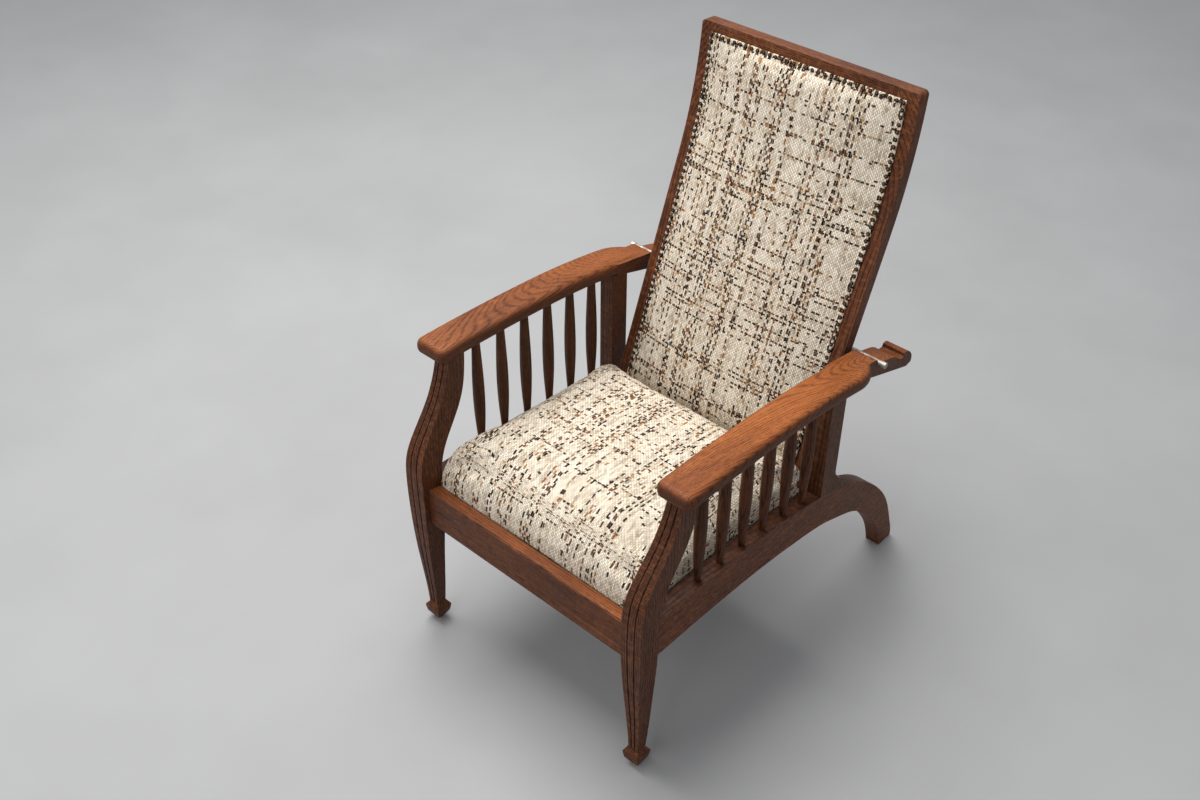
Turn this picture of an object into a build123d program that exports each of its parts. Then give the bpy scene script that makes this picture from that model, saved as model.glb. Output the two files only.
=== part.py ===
from build123d import *
import math
import os

os.makedirs("parts", exist_ok=True)

# Reclining armchair in oak, in millimetres. +Z is up, the sitter faces -Y, and +X is the
# sitter's left. While it is drawn, Y = 0 is the foremost point of the front legs, and the
# floor lies at floor_height, because the outlines of legs and rails run on below it. Every
# piece is moved on export, so that the origin lies on the floor under the middle.

# Overall sizes
overall_depth = 884.0
floor_height = 11.0
overrun = 40.0
wood_gap = 0.2
soft_gap = 0.3

# Side frames: rails that curve down into the rear feet
seat_half_width = 260.0
rail_thickness = 34.0
rail_top_height = 394.0
rail_tenon_thickness = 12.0
rail_tenon_height = 60.0
rail_tenon_length = 22.0
rail_tenon_height_share = 0.88
# depth share and height share of the rail's upper edge, from the front leg to the rear foot
rail_top_shares = (
    (0.02, 1.0), (0.10, 1.0), (0.204, 0.993), (0.351, 0.977), (0.495, 0.942), (0.633, 0.881),
    (0.767, 0.777), (0.874, 0.594), (0.950, 0.363), (0.989, 0.140), (1.0, 0.051), (0.994, -0.02),
)
# the same shares along the lower edge
rail_bottom_shares = (
    (0.02, 0.772), (0.124, 0.772), (0.204, 0.769), (0.26, 0.765), (0.328, 0.758), (0.414, 0.744),
    (0.476, 0.729), (0.546, 0.707), (0.602, 0.687), (0.654, 0.661), (0.718, 0.610), (0.776, 0.556),
    (0.820, 0.486), (0.859, 0.393), (0.894, 0.299), (0.921, 0.203), (0.939, 0.107), (0.953, -0.02),
)

# Front legs: an S in side view, tapering to a square foot
leg_reveal_inner = 5.0
leg_reveal_outer = 8.0
leg_sweep = 140.0
leg_drop = 33.0
leg_tenon_width = 18.0
leg_tenon_depth = 26.0
leg_tenon_length = 20.0
leg_tenon_setback_share = 0.84
reed_groove_width = 3.6
reed_groove_depth = 3.6
reed_groove_shares = (0.33, 0.68)
# height share of the leg, then shares of its sweep for the front and rear edges
leg_side_shares = (
    (0.055, 0.107, 0.271), (0.17, 0.096, 0.300), (0.31, 0.045, 0.322), (0.43, 0.014, 0.343),
    (0.54, 0.000, 0.350), (0.63, 0.002, 0.362), (0.706, 0.048, 0.455), (0.782, 0.243, 0.668),
    (0.86, 0.485, 0.880), (0.95, 0.656, 0.981), (1.08, 0.730, 1.010),
)
# height share of the leg, then shares of its width lost from the inner and outer faces
leg_front_shares = (
    (0.055, 0.28, 0.31), (0.17, 0.21, 0.21), (0.31, 0.13, 0.11), (0.43, 0.04, 0.04),
    (0.54, 0.00, 0.01), (0.63, 0.01, 0.0), (0.706, 0.06, 0.0), (0.782, 0.12, 0.0),
    (0.86, 0.19, 0.0), (0.95, 0.25, 0.0), (1.08, 0.28, 0.0),
)

# Feet of the front legs: a flared collar over a blunt four-sided point
foot_height = 51.0
foot_width = 37.5
foot_setback_share = 0.196
foot_centre_share = 0.475
# height share, then width share of the foot's square
foot_shares = ((0.0, 0.26), (0.14, 0.62), (0.34, 0.89), (0.60, 1.0), (0.70, 1.0), (0.90, 0.62), (1.0, 0.54))

# Arms: broad, arched boards whose rear ends carry the notches for the rod
arm_crown_height = 685.0
arm_crown_setback = 60.0
arm_arch_radius = 4500.0
arm_bend_setback = 378.0
arm_bend_radius = 1850.0
arm_thickness = 31.0
arm_inner_face = 255.0
arm_width = 77.0
arm_front = 73.0
arm_corner_radius = 17.0
arm_shoulder_lead = 101.5
arm_shoulder_radius = 105.0
arm_top_rounding = 14.0
arm_under_rounding = 12.0
arm_rear_width = 50.0
arm_rear_rounding = 3.0
arm_root_lead = 119.5

# Support rod and the two notches that it can lie in
rod_radius = 5.75
rod_overhang = 15.0
rod_drop = 68.0
rod_gap = 0.3
rod_collar_length = 9.0
rod_collar_wall = 0.7
rod_collar_gap = 0.05
rod_end_hole_radius = 1.0
rod_end_hole_depth = 4.0
notch_pitch = 90.5
notch_drop = 31.5
notch_front_wall = 13.0
notch_rear_wall_drop = 3.0
rear_tail_length = 38.0
notch_lip_slope_share = 0.5
hump_start_slope_share = 0.1
# run share and fall share between the two notches, over the rounded hump
hump_shares = ((0.215, 0.08), (0.459, 0.286), (0.657, 0.524), (0.823, 0.873))
# run share of the tail behind the second notch and height share of the notch drop
lip_shares = ((0.09, 0.06), (0.34, 0.04), (0.655, -0.17), (0.905, -0.49), (1.0, -0.81), (0.94, -1.10))
tail_low_share = (0.53, -1.19)
tail_root_share = (-0.39, -0.59)

# Rear posts between the side rails and the arms
post_front = 550.0
post_depth = 45.0
post_flare = 35.0
post_flare_height = 62.0
post_flare_step = 16.0
post_tenon_width = 16.0
post_tenon_depth = 28.0
post_tenon_length = 18.0

# Spindles, six on each side
spindle_count = 6
spindle_first = 180.0
spindle_pitch = 65.0
spindle_radius = 11.9
spindle_line = 279.0
spindle_tenon_radius = 5.0
spindle_tenon_length = 15.0
# height share and radius share of the swelling outline
spindle_shares = (
    (0.0, 0.53), (0.12, 0.68), (0.30, 0.91), (0.50, 1.0), (0.70, 0.92), (0.88, 0.76), (1.0, 0.66),
)

# Front rail with a sloping top, a worn arris and a bead near its lower edge
front_rail_face = 14.0
front_rail_thickness = 29.0
front_rail_drop = 5.0
front_rail_height = 87.0
front_rail_slope = 5.0
front_rail_bead_height = 20.0
front_rail_bead = 3.0
front_rail_chamfer = 3.0
front_rail_tenon_length = 12.0
front_rail_tenon_height = 60.0
front_rail_tenon_thickness = 10.0

# Reclining back: a frame of two stiles and two rails, straight below and curved above
back_half_width = 244.5
back_depth = 28.0
back_lean = 20.5
back_face_setback = 562.0
back_face_rise = 6.0
back_foot_drop = 42.0
back_straight = 530.0
back_curve_radius = 900.0
back_length = 800.0
back_corner_radius = 9.0
stile_width = 46.0
top_rail_height = 60.0
bottom_rail_height = 62.0
back_tenon_length = 25.0
back_tenon_thickness = 10.0
back_tenon_height_share = 0.6

# Rear rail under the back, and the two butt hinges
rear_rail_height = 70.0
rear_rail_thickness = 28.0
rear_rail_tenon_length = 15.0
rear_rail_tenon_thickness = 10.0
rear_rail_tenon_height = 44.0
hinge_spacing = 300.0
hinge_width = 60.0
hinge_leaf_height = 34.0
hinge_leaf_thickness = 2.0
hinge_barrel_radius = 3.5
hinge_barrel_gap = 0.3
hinge_pin_radius = 2.0
hinge_pin_gap = 0.05
hinge_knuckle_gap = 0.4
hinge_rail_gap = 2.5
hinge_screw_radius = 1.7
hinge_screw_head_radius = 3.4
hinge_screw_length = 16.0
hinge_screw_dome_share = 0.5
# place of each screw across and up a leaf
hinge_screw_shares = ((-0.32, 0.70), (0.0, 0.42), (0.32, 0.70))

# Drop-in seat: frame, webbing, hessian and cushion, sloping down to the rear
seat_front = 51.0
seat_depth = 485.0
seat_drop = 24.0
seat_slope = 3.0
seat_side_gap = 6.0
seat_bar_width = 48.0
seat_bar_thickness = 22.0
web_width = 50.0
web_thickness = 1.2
seat_web_count = 5
hessian_thickness = 0.8
ledger_width = 20.0
ledger_height = 22.0
ledger_screw_count = 4
ledger_screw_radius = 2.0
ledger_screw_length = 34.0
corner_block_leg = 55.0
corner_block_height = 24.0

# Seat cushion
cushion_height = 122.0
cushion_top_slope = 2.0
cushion_corner_radius = 20.0
cushion_side_draw = 3.0
cushion_side_overhang = 3.0
cushion_front_overhang = 7.8
cushion_rear_overhang = 2.0
# height share, then how far the side, front and rear edges lie inside, as shares of the height
cushion_shares = (
    (0.0, 0.02, 0.0, 0.035), (0.15, 0.0, 0.0, 0.037), (0.38, 0.0, 0.01, 0.045),
    (0.58, 0.01, 0.055, 0.055), (0.745, 0.03, 0.13, 0.080), (0.848, 0.09, 0.22, 0.16),
    (0.896, 0.16, 0.31, 0.28), (0.932, 0.30, 0.50, 0.50), (0.965, 0.60, 0.80, 0.88),
    (0.988, 1.02, 1.20, 1.24), (1.0, 1.46, 1.55, 1.60),
)

# Back upholstery: webbing, domed pad, outside cover and nails
pad_margin = 23.5
pad_top_margin = 18.0
pad_bottom = 34.0
pad_edge = 5.0
pad_crown = 24.0
pad_border = 13.0
# length share along the pad and share of the full crown there
pad_shares = (
    (0.0, 0.20), (0.03, 0.62), (0.10, 0.92), (0.20, 0.98), (0.35, 1.0), (0.50, 1.0), (0.65, 1.0),
    (0.75, 0.97), (0.85, 0.92), (0.93, 0.78), (0.96, 0.56), (0.977, 0.28), (0.986, 0.06), (1.0, 0.04),
)
back_web_count = 7
back_web_upright_count = 3
cover_thickness = 2.0
cover_rebate = 2.6
cover_lap = 14.0
nail_radius = 4.1
nail_dome = 2.6
nail_pitch = 13.8
nail_inset = 5.0

# Sizes that follow from the ones above
rail_centre = seat_half_width + rail_thickness / 2
rail_outer_face = seat_half_width + rail_thickness
leg_inner_face = seat_half_width - leg_reveal_inner
leg_outer_face = rail_outer_face + leg_reveal_outer
leg_width = leg_outer_face - leg_inner_face
arm_outer_face = arm_inner_face + arm_width
leg_height = arm_crown_height - leg_drop
front_rail_top = rail_top_height - front_rail_drop
seat_front_height = rail_top_height - seat_drop
back_face_height = rail_top_height + back_face_rise
back_foot_height = rail_top_height - back_foot_drop
rod_height = arm_crown_height - rod_drop
rod_half_length = arm_inner_face + arm_rear_width + rod_overhang
lean_sine = math.sin(math.radians(back_lean))
lean_cosine = math.cos(math.radians(back_lean))
lean_tangent = lean_sine / lean_cosine
back_foot_setback = back_face_setback - (back_face_height - back_foot_height) * lean_tangent
rod_standoff = back_depth + rod_radius + rod_gap
rod_setback = back_face_setback + (rod_height - back_face_height) * lean_tangent + rod_standoff / lean_cosine
arm_shoulder_start = rod_setback - arm_shoulder_lead
arm_rear_root = rod_setback - arm_root_lead
notch_radius = rod_radius + rod_gap
second_rod_setback = rod_setback + notch_pitch
second_rod_height = rod_height - notch_drop
hinge_offset = hinge_barrel_radius + hinge_barrel_gap
hinge_setback = back_foot_setback + (back_depth + hinge_offset) * lean_cosine
hinge_height = back_foot_height - (back_depth + hinge_offset) * lean_sine
rear_rail_rear = hinge_setback - hinge_offset
rear_rail_top = hinge_height - hinge_rail_gap
spindle_places = [spindle_first + number * spindle_pitch for number in range(spindle_count)]
seat_half = seat_half_width - seat_side_gap
pad_half_width = back_half_width - pad_margin
pad_top = back_length - pad_top_margin
pad_length = pad_top - pad_bottom


def save(name, part):
    """Move a piece from the drawing frame to the floor-centred frame and write its STEP file."""
    placed = Pos(0, -overall_depth / 2, -floor_height) * part
    export_step(placed, "parts/" + name + ".step")


def save_pair(name, part):
    """Write a left piece and its mirror image on the right."""
    save(name + "_left", part)
    save(name + "_right", mirror(part, about=Plane.YZ))


def block(x_low, x_high, y_low, y_high, z_low, z_high):
    """A plain box between two corners."""
    size = Box(x_high - x_low, y_high - y_low, z_high - z_low)
    return Pos((x_low + x_high) / 2, (y_low + y_high) / 2, (z_low + z_high) / 2) * size


def outline_face(pieces):
    """Face inside a closed outline made of lines, arcs and curves."""
    return Face(Wire([edge for piece in pieces for edge in piece.edges()]))


def slab(pieces, x_low, x_high):
    """A closed outline in the YZ plane, extruded from one X to another."""
    solid = extrude(outline_face(pieces), amount=x_high - x_low, dir=(1, 0, 0))
    return Pos(x_low, 0, 0) * solid


def group(pieces):
    """Separate solids held together as one sub-part."""
    return Compound([solid for piece in pieces for solid in piece.solids()])


def drilled(solid, drills):
    """A solid with a hole for each piece of a group of drills."""
    for drill in drills.solids():
        solid = solid - drill
    return solid


def side_points(shares, run, rise):
    """Depth and height shares turned into points of the YZ plane."""
    return [Vector(0, share[0] * run, share[1] * rise) for share in shares]


def arm_bend(depth_below_top):
    """Where the arm's two arcs meet, and the centre of the rear one, at a depth below the top."""
    turn = math.asin((arm_bend_setback - arm_crown_setback) / arm_arch_radius)
    centre = Vector(0, arm_crown_setback, arm_crown_height - arm_arch_radius)
    towards = Vector(0, math.sin(turn), math.cos(turn))
    meeting = centre + towards * (arm_arch_radius - depth_below_top)
    rear_centre = centre + towards * (arm_arch_radius - arm_bend_radius)
    return meeting, rear_centre


def arm_arc_height(setback, depth_below_top):
    """Height of the arm's arch at a setback, at a depth below its top."""
    meeting, rear_centre = arm_bend(depth_below_top)
    if setback < meeting.Y:
        radius = arm_arch_radius - depth_below_top
        centre = arm_crown_height - arm_arch_radius
        return centre + math.sqrt(radius ** 2 - (setback - arm_crown_setback) ** 2)
    radius = arm_bend_radius - depth_below_top
    return rear_centre.Z + math.sqrt(radius ** 2 - (setback - rear_centre.Y) ** 2)


def arch_point(setback, depth_below_top):
    """A point of the arm's arch."""
    return Vector(0, setback, arm_arc_height(setback, depth_below_top))


def arm_arcs(start, end, depth_below_top):
    """The two arcs of the arm's arch between two setbacks."""
    meeting = arm_bend(depth_below_top)[0]
    arcs = []
    for low, high in ((start, meeting.Y), (meeting.Y, end)):
        points = [arch_point(place, depth_below_top) for place in (low, (low + high) / 2, high)]
        arcs.append(ThreePointArc(*points))
    return arcs


def space_above_arm_underside():
    """Everything above the arms' underside, used to scribe what stands under an arm."""
    start = 0
    end = overall_depth
    top = arm_crown_height + overrun
    under = arm_arcs(start, end, arm_thickness)
    closing = Polyline(under[1] @ 1, Vector(0, end, top), Vector(0, start, top), under[0] @ 0)
    return slab(under + [closing], 0, arm_outer_face + overrun)


def space_below_rail_top():
    """Everything below the side rails' upper edge, used to scribe what stands on a rail."""
    top = Spline(side_points(rail_top_shares, overall_depth, rail_top_height))
    front_low = Vector(0, (top @ 0).Y, -overrun)
    rear_low = Vector(0, (top @ 1).Y, -overrun)
    edges = [top, Polyline(top @ 1, rear_low, front_low, top @ 0)]
    return slab(edges, 0, arm_outer_face + overrun)


def leg_blank():
    """Front leg before its joints: a side outline and a front outline, each extruded, in common."""
    front = Spline([Vector(0, row[1] * leg_sweep, row[0] * leg_height) for row in leg_side_shares])
    rear = Spline([Vector(0, row[2] * leg_sweep, row[0] * leg_height) for row in leg_side_shares])
    side = slab([front, Line(front @ 1, rear @ 1), rear, Line(rear @ 0, front @ 0)],
                leg_inner_face - overrun, leg_outer_face + overrun)
    inner = Spline([leg_front_point(row, row[1] * leg_width) for row in leg_front_shares])
    outer = Spline([leg_front_point(row, (1 - row[2]) * leg_width) for row in leg_front_shares])
    edges = [inner, Line(inner @ 1, outer @ 1), outer, Line(outer @ 0, inner @ 0)]
    face = extrude(outline_face(edges), amount=leg_sweep + 2 * overrun, dir=(0, 1, 0))
    return side & (Pos(0, -overrun, 0) * face)


def leg_front_point(row, across):
    """A point of the leg's front outline, at a distance from its inner face."""
    return Vector(leg_inner_face + across, 0, row[0] * leg_height)


def reed_groove(share):
    """A groove that follows the leg's front face at one share of its width."""
    outline = [Vector(0, row[1] * leg_sweep, row[0] * leg_height) for row in leg_side_shares]
    front = Spline([point - Vector(0, reed_groove_depth, 0) for point in outline])
    floor = Spline([point + Vector(0, reed_groove_depth, 0) for point in outline])
    skin = slab([front, Line(front @ 1, floor @ 1), floor, Line(floor @ 0, front @ 0)],
                leg_inner_face - overrun, leg_outer_face + overrun)
    centres = []
    for row in leg_front_shares:
        across = (row[1] + share * (1 - row[1] - row[2])) * leg_width
        centres.append(leg_front_point(row, across))
    half = Vector(reed_groove_width / 2, 0, 0)
    inner = Spline([point - half for point in centres])
    outer = Spline([point + half for point in centres])
    edges = [inner, Line(inner @ 1, outer @ 1), outer, Line(outer @ 0, inner @ 0)]
    band = extrude(outline_face(edges), amount=leg_sweep + 2 * overrun, dir=(0, 1, 0))
    return skin & (Pos(0, -overrun, 0) * band)


def foot():
    """Square foot under a front leg, as a ruled loft through squares."""
    setback = foot_setback_share * leg_sweep
    across = leg_inner_face + foot_centre_share * leg_width
    squares = []
    for height_share, width_share in foot_shares:
        side = width_share * foot_width
        height = floor_height + height_share * foot_height
        squares.append(Pos(across, setback, height) * Rectangle(side, side))
    return loft(squares, ruled=True)


def front_rail_tenon(gap):
    """Tenon at the left end of the front rail, or its mortise when a gap is given."""
    middle = front_rail_face + front_rail_thickness / 2
    half = front_rail_tenon_thickness / 2 + gap
    centre = front_rail_top - front_rail_height / 2
    rise = front_rail_tenon_height / 2 + gap
    end = leg_inner_face + front_rail_tenon_length + gap
    return block(leg_inner_face - overrun, end, middle - half, middle + half, centre - rise, centre + rise)


def side_rail_tenon(gap):
    """Tenon at the front end of the left side rail, or its mortise when a gap is given."""
    half = rail_tenon_thickness / 2 + gap
    centre = rail_top_height * rail_tenon_height_share
    rise = rail_tenon_height / 2 + gap
    rear_edge = leg_side_shares[4][2] * leg_sweep
    return block(rail_centre - half, rail_centre + half,
                 rear_edge - rail_tenon_length - gap, rear_edge + overrun, centre - rise, centre + rise)


def leg_tenon(gap):
    """Tenon on top of the left front leg, or its mortise when a gap is given."""
    setback = leg_tenon_setback_share * leg_sweep
    across = leg_outer_face - leg_width / 2
    half = leg_tenon_width / 2 + gap
    depth = leg_tenon_depth / 2 + gap
    base = arm_arc_height(setback, arm_thickness)
    return block(across - half, across + half, setback - depth, setback + depth,
                 base - overrun, base + leg_tenon_length + gap)


def front_leg():
    """Left front leg with its reeds, foot, mortises and top tenon."""
    leg = leg_blank() - space_above_arm_underside()
    for share in reed_groove_shares:
        leg -= reed_groove(share)
    leg = leg + foot()
    leg -= front_rail_tenon(wood_gap)
    leg -= side_rail_tenon(wood_gap)
    top = leg_tenon(0) & leg_blank_core()
    return leg + top


def leg_blank_core():
    """Space in which the leg's top tenon may run down into the leg."""
    setback = leg_tenon_setback_share * leg_sweep
    base = arm_arc_height(setback, arm_thickness)
    return block(leg_inner_face, leg_outer_face, 0, overall_depth, base - leg_tenon_length / 2,
                 arm_crown_height)


def post_tenon(gap, base, direction):
    """Tenon of the left rear post, up into the arm or down into the rail."""
    middle = post_front + post_depth / 2
    half = post_tenon_width / 2 + gap
    depth = post_tenon_depth / 2 + gap
    inside = base - direction * post_tenon_length
    end = base + direction * (post_tenon_length + gap)
    return block(rail_centre - half, rail_centre + half, middle - depth, middle + depth,
                 min(inside, end), max(inside, end))


def height_on_rail(setback):
    """Height where a vertical line meets the side rail's upper edge."""
    probe = Pos(rail_centre, setback, rail_top_height) * Box(wood_gap, wood_gap, 4 * rail_top_height)
    return (probe & space_below_rail_top()).bounding_box().max.Z


def rear_post(arm_blank):
    """Left rear post, scribed to the arm and the rail, with its flared heel and two tenons."""
    low = rail_top_height / 2
    high = arm_crown_height
    rear = post_front + post_depth
    heel = height_on_rail(rear + post_flare / 2)
    step = heel + post_flare_step
    start = Vector(0, rear, heel + post_flare_height)
    end = Vector(0, rear + post_flare, step)
    flare = Spline([start, end], tangents=[Vector(0, 0, -1), Vector(0, 1, -1)])
    edges = [
        Polyline(Vector(0, post_front, low), Vector(0, post_front, high), Vector(0, rear, high), start),
        flare,
        Polyline(end, Vector(0, rear + post_flare, low), Vector(0, post_front, low)),
    ]
    post = slab(edges, seat_half_width, rail_outer_face)
    post = post - space_above_arm_underside() - arm_blank - space_below_rail_top()
    middle = post_front + post_depth / 2
    post += post_tenon(0, arm_arc_height(middle, arm_thickness), 1)
    post += post_tenon(0, height_on_rail(middle), -1)
    return post


def spindle(setback, low, high):
    """One turned spindle, scribed to the rail and the arm, with a round tenon at each end."""
    start = low - spindle_tenon_length
    length = high - low
    outline = [Vector(share[1] * spindle_radius, 0, low + share[0] * length) for share in spindle_shares]
    bottom = Vector(outline[0].X, 0, start)
    top = Vector(outline[-1].X, 0, high + spindle_tenon_length)
    core = Polyline(outline[-1], top, Vector(0, 0, top.Z), Vector(0, 0, start), bottom, outline[0])
    edges = [Spline(outline), core]
    body = revolve(outline_face(edges), axis=Axis.Z)
    body = Pos(spindle_line, setback, 0) * body
    body = body - space_above_arm_underside() - space_below_rail_top()
    peg = Cylinder(spindle_tenon_radius, length + 2 * spindle_tenon_length)
    return body + Pos(spindle_line, setback, (low + high) / 2) * peg


def spindle_hole(setback, low, high):
    """Hole for a spindle's two tenons."""
    length = high - low + 2 * (spindle_tenon_length + wood_gap)
    return Pos(spindle_line, setback, (low + high) / 2) * Cylinder(spindle_tenon_radius + wood_gap, length)


def spindle_ends():
    """Setback, rail height and arm height for each spindle of one side."""
    return [(place, height_on_rail(place), arm_arc_height(place, arm_thickness)) for place in spindle_places]


def side_rail():
    """Left side rail, its rear end curving down into the rear foot."""
    top = Spline(side_points(rail_top_shares, overall_depth, rail_top_height))
    bottom = Spline(side_points(rail_bottom_shares, overall_depth, rail_top_height))
    rail = slab([top, Line(top @ 1, bottom @ 1), bottom, Line(bottom @ 0, top @ 0)],
                seat_half_width, rail_outer_face)
    rail -= block(0, leg_outer_face + overrun, 0, overall_depth + overrun, -overrun, floor_height)
    rail = (rail - leg_blank()).solids().sort_by(Axis.Y)[-1]
    shoulder = side_rail_tenon(0) & block(0, leg_outer_face, 0, leg_sweep / 2, 0, rail_top_height)
    rail = rail + shoulder
    for setback, low, high in spindle_ends():
        rail -= spindle_hole(setback, low, high)
    middle = post_front + post_depth / 2
    rail -= post_tenon(wood_gap, height_on_rail(middle), -1)
    rail -= rear_rail_tenon(wood_gap)
    return drilled(rail, ledger_screws(wood_gap))


def arm_body():
    """Broad part of the left arm, arched, with rounded edges and a rounded rear shoulder."""
    turn = math.acos(1 - (arm_width - arm_rear_width) / arm_shoulder_radius)
    shoulder_end = arm_shoulder_start + arm_shoulder_radius * math.sin(turn)
    half_turn = turn / 2
    middle_x = arm_outer_face - arm_shoulder_radius * (1 - math.cos(half_turn))
    middle_y = arm_shoulder_start + arm_shoulder_radius * math.sin(half_turn)
    start = Vector(arm_outer_face, arm_shoulder_start, 0)
    end = Vector(arm_inner_face + arm_rear_width, shoulder_end, 0)
    edges = [
        Line(Vector(arm_outer_face, arm_front, 0), start),
        ThreePointArc(start, Vector(middle_x, middle_y, 0), end),
        Polyline(end, Vector(arm_inner_face, shoulder_end, 0), Vector(arm_inner_face, arm_front, 0),
                 Vector(arm_outer_face, arm_front, 0)),
    ]
    plan = extrude(outline_face(edges), amount=arm_crown_height + overrun, dir=(0, 0, 1))
    top = arm_arcs(0, overall_depth, 0)
    under = arm_arcs(0, overall_depth, arm_thickness)
    ends = [Line(top[0] @ 0, under[0] @ 0), Line(top[1] @ 1, under[1] @ 1)]
    arch = slab(top + under + ends, arm_inner_face - overrun, arm_outer_face + overrun)
    body = plan & arch
    corners = body.edges().filter_by(Axis.Z).group_by(Axis.Y)[0]
    body = fillet(corners, arm_corner_radius)
    body = fillet(arch_edges(body, 0), arm_top_rounding)
    return fillet(arch_edges(body, arm_thickness), arm_under_rounding)


def arch_edges(body, depth_below_top):
    """Edges round the arm's top or underside, without the seam where its two arcs meet."""
    seam = arm_bend(depth_below_top)[0].Y
    picked = ShapeList()
    for edge in body.edges():
        middle = edge @ 0.5
        on_arch = abs(middle.Z - arm_arc_height(middle.Y, depth_below_top)) < wood_gap
        if on_arch and abs(middle.Y - seam) > wood_gap:
            picked.append(edge)
    return picked


def arm_rear():
    """Narrow rear end of the left arm, with the two notches, the hump between them and the lip."""
    front_wall = Vector(0, rod_setback - notch_radius, rod_height)
    front_top = arch_point(rod_setback - notch_front_wall, 0)
    notch_low = Vector(0, rod_setback, rod_height - notch_radius)
    reach = math.sqrt(notch_radius ** 2 - notch_rear_wall_drop ** 2)
    rear_wall = Vector(0, rod_setback + reach, rod_height - notch_rear_wall_drop)
    hump = [rear_wall]
    for run, fall in hump_shares:
        hump.append(Vector(0, rod_setback + run * notch_pitch,
                           rod_height - notch_rear_wall_drop - fall * notch_drop))
    second_low = Vector(0, second_rod_setback, second_rod_height - notch_radius)
    hump.append(second_low)
    second_wall = Vector(0, second_rod_setback + notch_radius, second_rod_height)
    tail = [second_wall]
    for run, rise in lip_shares:
        tail.append(Vector(0, second_rod_setback + notch_radius + run * (rear_tail_length - notch_radius),
                           second_rod_height + rise * notch_drop))
    tail_low = Vector(0, second_rod_setback + tail_low_share[0] * rear_tail_length,
                      second_rod_height + tail_low_share[1] * notch_drop)
    tail_root = Vector(0, rod_setback + tail_root_share[0] * notch_pitch,
                       rod_height + tail_root_share[1] * notch_drop)
    root_top = arch_point(arm_rear_root, arm_rear_rounding)
    root_low = arch_point(arm_rear_root, arm_thickness - arm_rear_rounding)
    quarter = math.sqrt(0.5)
    first_bend = Vector(0, rod_setback - quarter * notch_radius, rod_height - quarter * notch_radius)
    second_bend = Vector(0, second_rod_setback + quarter * notch_radius,
                         second_rod_height - quarter * notch_radius)
    first_turn = Vector(0, rod_setback + quarter * notch_radius, rod_height - quarter * notch_radius)
    edges = [
        Line(root_low, root_top),
        Line(root_top, front_top),
        Spline([front_top, front_wall], tangents=[Vector(0, 1, -notch_lip_slope_share), Vector(0, 0, -1)]),
        ThreePointArc(front_wall, first_bend, notch_low),
        ThreePointArc(notch_low, first_turn, rear_wall),
        Spline(hump, tangents=[Vector(0, 1, hump_start_slope_share), Vector(0, 1, 0)]),
        ThreePointArc(second_low, second_bend, second_wall),
        Spline(tail),
        Polyline(tail[-1], tail_low, tail_root, root_low),
    ]
    return slab(edges, arm_inner_face, arm_inner_face + arm_rear_width)


def arm(blank):
    """Left arm with the sockets for the leg, the spindles and the rear post."""
    solid = blank
    solid -= leg_tenon(wood_gap)
    middle = post_front + post_depth / 2
    solid -= post_tenon(wood_gap, arm_arc_height(middle, arm_thickness), 1)
    for setback, low, high in spindle_ends():
        solid -= spindle_hole(setback, low, high)
    return solid


def front_rail():
    """Front rail between the legs, with its sloping top, bead and two tenons."""
    rear = front_rail_face + front_rail_thickness
    low = front_rail_top - front_rail_height
    bead_low = low + front_rail_bead_height
    edges = [Polyline(
        Vector(0, front_rail_face, low),
        Vector(0, front_rail_face, bead_low - front_rail_bead / 2),
        Vector(0, front_rail_face + front_rail_bead / 2, bead_low),
        Vector(0, front_rail_face, bead_low + front_rail_bead / 2),
        Vector(0, front_rail_face, front_rail_top - front_rail_chamfer),
        Vector(0, front_rail_face + front_rail_chamfer, front_rail_top),
        Vector(0, rear, front_rail_top - front_rail_slope),
        Vector(0, rear, low),
        Vector(0, front_rail_face, low),
    )]
    rail = slab(edges, -leg_outer_face, leg_outer_face)
    rail = rail - leg_blank() - mirror(leg_blank(), about=Plane.YZ)
    rail = rail.solids().sort_by(SortBy.VOLUME)[-1]
    tenon = front_rail_tenon(0)
    return rail + tenon + mirror(tenon, about=Plane.YZ)


def rear_rail_tenon(gap):
    """Tenon at the left end of the rear rail, or its mortise when a gap is given."""
    middle = rear_rail_rear - rear_rail_thickness / 2
    half = rear_rail_tenon_thickness / 2 + gap
    centre = rear_rail_top - rear_rail_height / 2
    rise = rear_rail_tenon_height / 2 + gap
    return block(0, seat_half_width + rear_rail_tenon_length + gap, middle - half, middle + half,
                 centre - rise, centre + rise)


def rear_rail():
    """Rear rail that carries the hinges."""
    rail = block(-seat_half_width, seat_half_width, rear_rail_rear - rear_rail_thickness, rear_rail_rear,
                 rear_rail_top - rear_rail_height, rear_rail_top)
    tenon = rear_rail_tenon(0) - block(0, seat_half_width - overrun, 0, overall_depth, 0, rail_top_height)
    return drilled(rail + tenon + mirror(tenon, about=Plane.YZ), hinge_screws("fixed", wood_gap))


def back_point(along, out):
    """Point of the back, at a length up its face and a distance out in front of the face."""
    straight = min(along, back_straight)
    setback = back_foot_setback + straight * lean_sine
    height = back_foot_height + straight * lean_cosine
    lean = math.radians(back_lean)
    if along > back_straight:
        turn = (along - back_straight) / back_curve_radius
        setback += back_curve_radius * (math.cos(lean - turn) - math.cos(lean))
        height += back_curve_radius * (math.sin(lean) - math.sin(lean - turn))
        lean -= turn
    return Vector(0, setback - out * math.cos(lean), height + out * math.sin(lean))


def back_plane(along):
    """Plane across the back at a length up its face: its Y points out of the face."""
    base = back_point(along, 0)
    outward = back_point(along, back_depth) - base
    across = Vector(1, 0, 0)
    return Plane(origin=base, x_dir=across, z_dir=across.cross(outward))


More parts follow.
